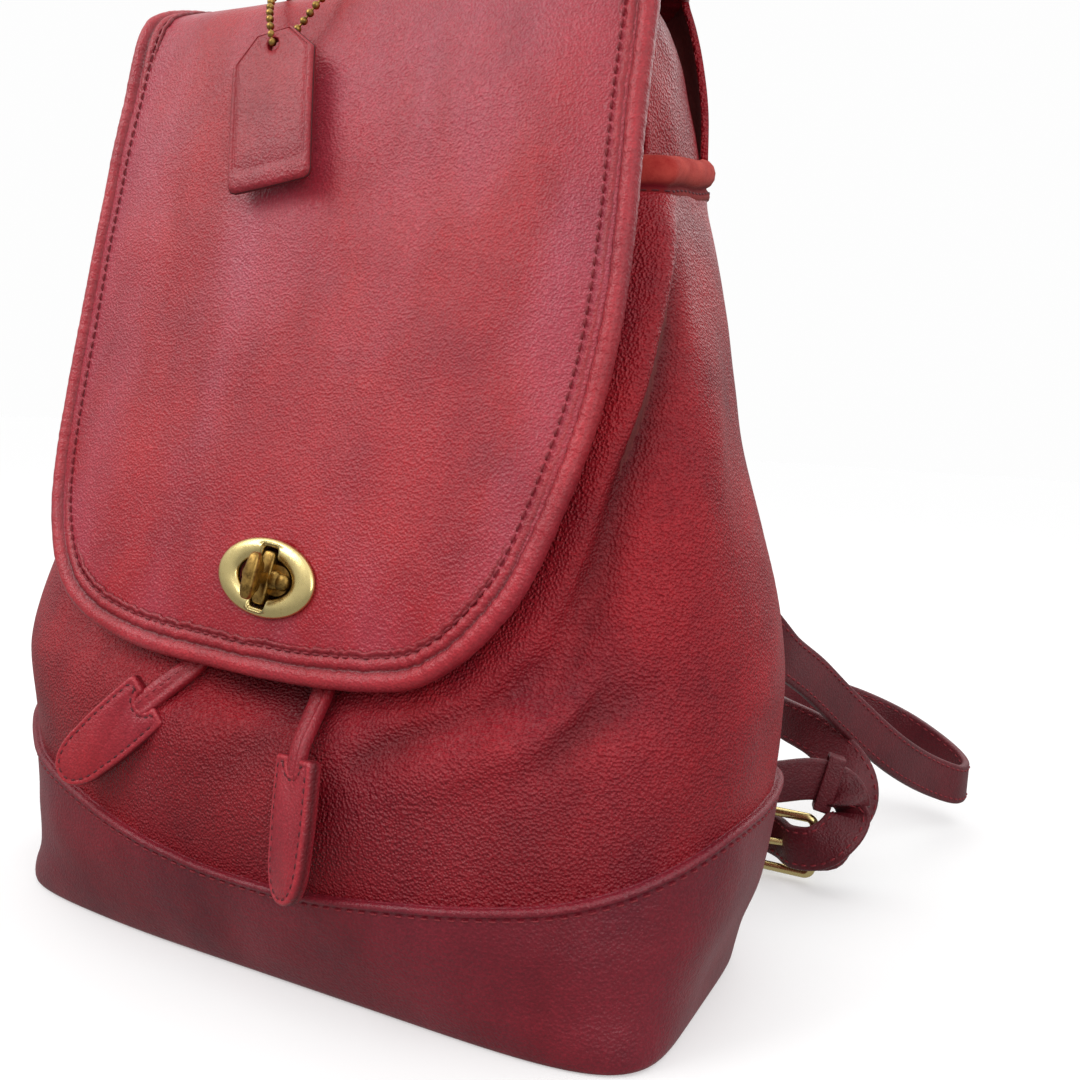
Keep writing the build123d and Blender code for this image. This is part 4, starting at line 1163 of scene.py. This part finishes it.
def tab_outline(inset):
    """A shield with a round notch in its top edge, as (along, across) points, the same number at any inset."""
    half, tip, top = TAB_HALF - inset, TAB_TIP - inset, TAB_TOP + inset
    flank = [(top + 1.4, half), (4, half + 0.1), (14, half - 0.1), (20, half - 0.6)]
    nose = [(20 + (tip - 20) * math.sin(a), (half - 0.6) * math.cos(a) ** 0.85) for a in
            np.linspace(0.18, math.pi / 2 - 0.1, 12)]
    side = np.vstack([smooth(flank, 8), nose])
    bowl_half, floor = NOTCH_HALF + inset, inset - 2.2
    notch = [(top + 0.3, half - 0.35), (top, half - 0.9), (top, bowl_half + 0.4), (top + 0.5, bowl_half)]
    bowl = [(floor - bowl_half + bowl_half * math.cos(a), bowl_half * math.sin(a))
            for a in np.linspace(math.pi / 2, -math.pi / 2, 15)]
    left = [(a, -b) for a, b in side]
    loop = notch + bowl + [(a, -b) for a, b in reversed(notch)] + left + [(tip, 0.0)]
    return np.array(loop + [tuple(p) for p in side[::-1]])


def pull_tab(side, route):
    """Two layers of leather with a dark raw edge between them, rounded faces and a row of stitches."""
    along, across, face = tab_frame(side)
    origin = np.asarray(route[-1]) + along * 0.7

    def place(flat, height):
        return origin + flat[:, :1] * along + flat[:, 1:] * across + face * height

    levels = [(inset, -height) for inset, height in reversed(TAB_FACE_ROWS[1:])] + TAB_FACE_ROWS
    rings = [place(tab_outline(inset), height) for inset, height in levels]
    count = len(rings[0])
    faces = grid_faces(len(rings), count, wrap=True)
    faces.append(tuple(reversed(range(count))))
    faces.append(tuple(range((len(rings) - 1) * count, len(rings) * count)))
    obj = piece(f"{side}_pull_tab_leather", np.vstack(rings), faces, TRIM, f"{side}_tab", "leather_trim")
    middle = len(TAB_FACE_ROWS) - 1
    shade_and_dye = [{0: 0.95, 1: 0.5}.get(abs(k - middle), 0.0) for k in range(len(rings))]
    in_notch = np.where((np.arange(count) > 1) & (np.arange(count) < 21), 0.3, 1.0)
    paint(obj, "shade_and_dye", (np.array(shade_and_dye)[:, None] * in_notch).ravel())
    paint(obj, "rubbed", np.repeat([{3: 0.4, 4: 0.2}.get(abs(k - middle), 0.0) for k in range(len(rings))], count))
    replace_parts(obj, f"{side}_pull_tab")
    seam = tab_outline(1.85)
    path = place(np.vstack([seam, seam[:1]]), 1.9)
    stitches(f"{side}_pull_tab_stitches", path, np.tile(face, (len(path), 1)), DARK_THREAD, f"{side}_tab",
             "leather_trim", pitch=3.0, length=2.3, radius=0.36)
    return obj


for side_name, route in (("right", RIGHT_ROUTE), ("left", LEFT_ROUTE)):
    tab = pull_tab(side_name, route)
    cord, cord_path = drawstring(side_name, route)


# ---- grab handle --------------------------------------------------------
HANDLE_Y, HANDLE_WIDTH, HANDLE_THICK = 36.0, 22.0, 4.0


def handle():
    """A flat strap: feet riveted to the yoke and a soft arch between them."""
    foot = 327.6
    half = [(-88, foot - 1.2), (-78, foot), (-68, foot + 0.4), (-63.2, foot + 5), (-61.6, foot + 14),
            (-58.0, foot + 25), (-47, foot + 34.5), (-26, foot + 37.6), (0, foot + 38.2)]
    line = smooth(half + [(-x, z) for x, z in reversed(half[:-1])], 10)
    line = np.stack([line[:, 0], np.full(len(line), HANDLE_Y), line[:, 1]], axis=-1)
    line = resample(line, 1.6)
    _, across, out = frames(line, np.tile([0.0, 1.0, 0.0], (len(line), 1)))
    if out[len(out) // 2][2] < 0:
        across, out = -across, -out
    soft = 1 + 0.02 * ripple(line, 18, 5.5)
    obj = sweep("grab_handle_strap", line, across, out, rounded(HANDLE_WIDTH, HANDLE_THICK, 1.5), STRAP, "yoke",
                "leather_strap", scale=soft)
    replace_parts(obj, "grab_handle")
    for k, offset in enumerate((-8.2, 8.2)):
        for side, sign in (("top", 1), ("under", -1)):
            stitches(f"grab_handle_stitches_{side}_{k + 1}", line + across * offset + out * sign * 2.0, out * sign,
                     THREAD, "yoke", "leather_strap", pitch=4.0)


handle()

# ---- shoulder straps, lower straps and keepers, right side first --------
UP, ACROSS = (0, 0, 1), (1, 0, 0)
SHOULDER_ROUTE = [
    ((24, 62.6, 296), ACROSS), ((38, 62.9, 250), (1, 0, 0.3)), ((64, 63.8, 195), (1, 0, 0.5)),
    ((94, 66.5, 142), (0.9, 0.2, 0.8)), ((114, 73, 110), (0.5, 0.2, 1)), ((123, 84, 97), UP), ((132, 110, 82), UP),
    ((143, 140, 62), UP), ((158, 170, 41), UP), ((172, 200, 26), UP), ((181, 217, 20), UP), ((182, 229, 20), UP),
    ((174, 239, 24), UP), ((152, 247, 34), UP), ((126, 241, 44), UP), ((104, 222, 51), UP), ((93, 196, 54), UP),
    ((96, 170, 56), UP), ((110, 151, 55), UP), ((130, 140, 51), (0.25, 0.25, 0.9)), ((145, 131, 42), (0.5, 0.6, 0.6)),
    ((151, 124, 31), (0.3, 0.9, 0.1)), ((149, 117, 21), (0.1, 0.9, -0.5)), ((143.5, 112, 15.5), (0, 0.2, -1)),
    ((138.5, 109.2, 14.9), (0, 0.1, -1)),
]
LOWER_ROUTE = [
    ((90, 60.6, 17), UP), ((100, 64.5, 16.8), UP), ((104.5, 73, 16.3), UP), ((105, 86, 15.5), UP), ((105, 101, 15), UP),
    ((108, 112.5, 15), UP), ((115, 116.4, 15), UP), ((122, 112.5, 15), UP), ((129, 104.2, 15.5), UP),
    ((139, 101.5, 18), (0.1, 0.1, 1)), ((146, 103.5, 24), (-0.3, 0.5, 0.8)), ((149.0, 110, 31), (-0.4, 0.6, 0.6)),
    ((145, 114.6, 38.5), (0.5, 0.3, 0.8)), ((136, 112, 42), UP), ((123, 104, 41), UP), ((111, 96, 38.5), UP),
]
SHOULDER_WIDTH, LOWER_WIDTH = 18.0, 17.0


def ribbon(name, stations, width, thick, body, rows_of_stitches, taper=0.0):
    """A strap along smooth stations of (point, width direction), with a stitched line near its edges."""
    table = smooth([tuple(point) + tuple(unit(hint)) for point, hint in stations], 12)
    line, hints = resample(table[:, :3], 1.8, table[:, 3:])
    _, across, out = frames(line, hints)
    along = lengths(line)
    scale = np.ones(len(line))
    if taper:
        scale = 1 - 0.75 * np.clip(1 - (along[-1] - along) / taper, 0, 1) ** 2.2
    line = line + out * (0.35 * ripple(line, 26, 3.3))[:, None]
    obj = sweep(name, line, across, out, rounded(width, thick, min(1.3, thick * 0.42)), STRAP, body, "leather_strap",
                scale=scale)
    edge = width / 2 - 2.3
    for k, (offset, side) in enumerate(rows_of_stitches):
        row = line + across * (offset * edge * scale)[:, None] + out * side * thick / 2
        stitches(f"{name}_stitches_{k + 1}", row[2:-2], out[2:-2] * side, THREAD, body, "leather_strap", pitch=4.1)
    return obj, line, across, out


def mirrored(stations):
    return [((-x, y, z), (-a, b, c)) for (x, y, z), (a, b, c) in stations]


def box_loop(name, centre, across, along, out, width, thick, wall, length, body):
    """A keeper: a flat closed loop round a strap."""
    corners = rounded(width, thick, 1.0, 3)
    line = np.array([centre + across * a + out * b for a, b in corners])
    outward = unit(line - centre - (line - centre) @ np.array(along)[:, None] * along)
    profile = rounded(length, wall, 0.5, 2)
    return sweep(name, line, np.tile(along, (len(line), 1)), outward, profile, STRAP, body, "leather_strap",
                 closed=True)


for side_name, flip in (("right", 1), ("left", -1)):
    shoulder = SHOULDER_ROUTE if flip > 0 else mirrored(SHOULDER_ROUTE)
    lower = LOWER_ROUTE if flip > 0 else mirrored(LOWER_ROUTE)
    both = [(-1, 1), (1, 1), (-1, -1), (1, -1)]
    strap, *_ = ribbon(f"{side_name}_shoulder_strap_leather", shoulder, SHOULDER_WIDTH, 3.6, "bag", both)
    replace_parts(strap, f"{side_name}_shoulder_strap")
    strap, *_ = ribbon(f"{side_name}_lower_strap_leather", lower, LOWER_WIDTH, 2.8, "bag", both[:2], taper=14)
    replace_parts(strap, f"{side_name}_lower_strap")
    keeper_across = unit(np.array([0.2 * flip, 0.12, 0.97]))
    keeper_along = np.array([-0.93 * flip, -0.24, 0.28])
    keeper_along = unit(keeper_along - keeper_across * (keeper_along @ keeper_across))
    keeper_out = np.cross(keeper_across, keeper_along)
    keeper = box_loop(f"{side_name}_keeper_loop", np.array([139.6 * flip, 113.4, 40.9]), keeper_across, keeper_along,
                      keeper_out, 21.6, 7.4, 1.5, 6.5, "bag")
    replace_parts(keeper, f"{side_name}_strap_keeper")


# ---- pieces sewn over the back ------------------------------------------
def sewn_patch(name, centre_x, centre_z, width, height, thick, y, body, slot, node, material):
    """A flat leather patch with rounded corners and a stitched edge, on the back of the bag."""
    loop = resample(np.array(rounded(width, height, 5, 6) + [rounded(width, height, 5, 6)[0]]), 1.5)[:-1]
    rows = [(1.0, 0.0), (1.0, 0.7), (0.985, 1.0), (0.95, 1.08), (0.8, 1.05), (0.4, 1.1), (0.02, 1.1)]
    points = []
    for share, up in rows:
        flat = loop * share
        points.append(np.stack([centre_x + flat[:, 0], np.full(len(loop), y + thick * up), centre_z + flat[:, 1]], -1))
    faces = grid_faces(len(rows), len(loop), wrap=True)
    faces.append(tuple((len(rows) - 1) * len(loop) + c for c in range(len(loop))))
    faces.append(tuple(reversed(range(len(loop)))))
    obj = piece(name, np.vstack(points), [tuple(reversed(f)) for f in faces], material, body, slot)
    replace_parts(obj, node)
    seam = resample(np.array(rounded(width - 5, height - 5, 3, 6) + [rounded(width - 5, height - 5, 3, 6)[0]]), 1.5)
    path = np.stack([centre_x + seam[:, 0], np.full(len(seam), y + thick * 1.06), centre_z + seam[:, 1]], -1)
    stitches(name + "_stitches", path, np.tile([0.0, 1.0, 0.0], (len(path), 1)), THREAD, body, slot)


sewn_patch("strap_top_patch", 0, 292, 84, 26, 1.9, 66.5, "bag", "leather_strap", "strap_patch", STRAP)
sewn_patch("rear_seam_strip", 0, 315.6, 148, 12.6, 1.9, 60.4, "bag", "leather_trim", "flap_seam_strip", TRIM)


# ---- floor and light ----------------------------------------------------
SKY_LIGHT, HORIZON_LIGHT, FLOOR_GLOW = 1.18, 0.36, 0.37


def studio():
    mesh = bpy.data.meshes.new("floor")
    mesh.from_pydata([(-9, -9, 0), (9, -9, 0), (9, 9, 0), (-9, 9, 0)], [], [(0, 1, 2, 3)])
    floor = bpy.data.objects.new("floor", mesh)
    SCENE.collection.objects.link(floor)
    material, nodes, links, shader = new_material("floor_white")
    shader.inputs["Base Color"].default_value = (0.62, 0.62, 0.62, 1)
    shader.inputs["Emission Color"].default_value = (1, 1, 1, 1)
    shader.inputs["Emission Strength"].default_value = FLOOR_GLOW
    shader.inputs["Roughness"].default_value = 0.9
    shader.inputs["Specular IOR Level"].default_value = 0
    mesh.materials.append(material)
    floor.visible_diffuse = floor.visible_glossy = False
    world = bpy.data.worlds.new("studio")
    world.use_nodes = True
    nodes, links = world.node_tree.nodes, world.node_tree.links
    soft = nodes["Background"]
    where = add_node(nodes, "ShaderNodeTexCoord").outputs["Generated"]
    split = add_node(nodes, "ShaderNodeSeparateXYZ")
    links.new(where, split.inputs[0])
    links.new(scaled(nodes, links, split.outputs["Z"], -0.1, 0.85, HORIZON_LIGHT, SKY_LIGHT), soft.inputs["Strength"])
    soft.inputs["Color"].default_value = (1, 1, 1, 1)
    backdrop = add_node(nodes, "ShaderNodeBackground")
    backdrop.inputs["Color"].default_value = (0.985, 0.985, 0.985, 1)
    seen = add_node(nodes, "ShaderNodeLightPath").outputs["Is Camera Ray"]
    both = add_node(nodes, "ShaderNodeMixShader")
    links.new(seen, both.inputs[0])
    links.new(soft.outputs[0], both.inputs[1])
    links.new(backdrop.outputs[0], both.inputs[2])
    links.new(both.outputs[0], nodes["World Output"].inputs["Surface"])
    SCENE.world = world
    SCENE.view_settings.view_transform = "Standard"
    lamps = (
        ("key", (-620, -700, 900), (0, 0, 190), 600, 5.5),
        ("fill", (800, -700, 500), (60, 0, 160), 600, 3),
        ("back", (200, 900, 900), (0, 0, 200), 800, 3),
    )
    for name, place, aim, size, power in lamps:
        data = bpy.data.lights.new(name, "AREA")
        data.size, data.energy = size * MM, power
        lamp = bpy.data.objects.new(name, data)
        lamp.location = Vector(place) * MM
        lamp.rotation_euler = (Vector(aim) - Vector(place)).to_track_quat("-Z", "Y").to_euler()
        SCENE.collection.objects.link(lamp)


studio()
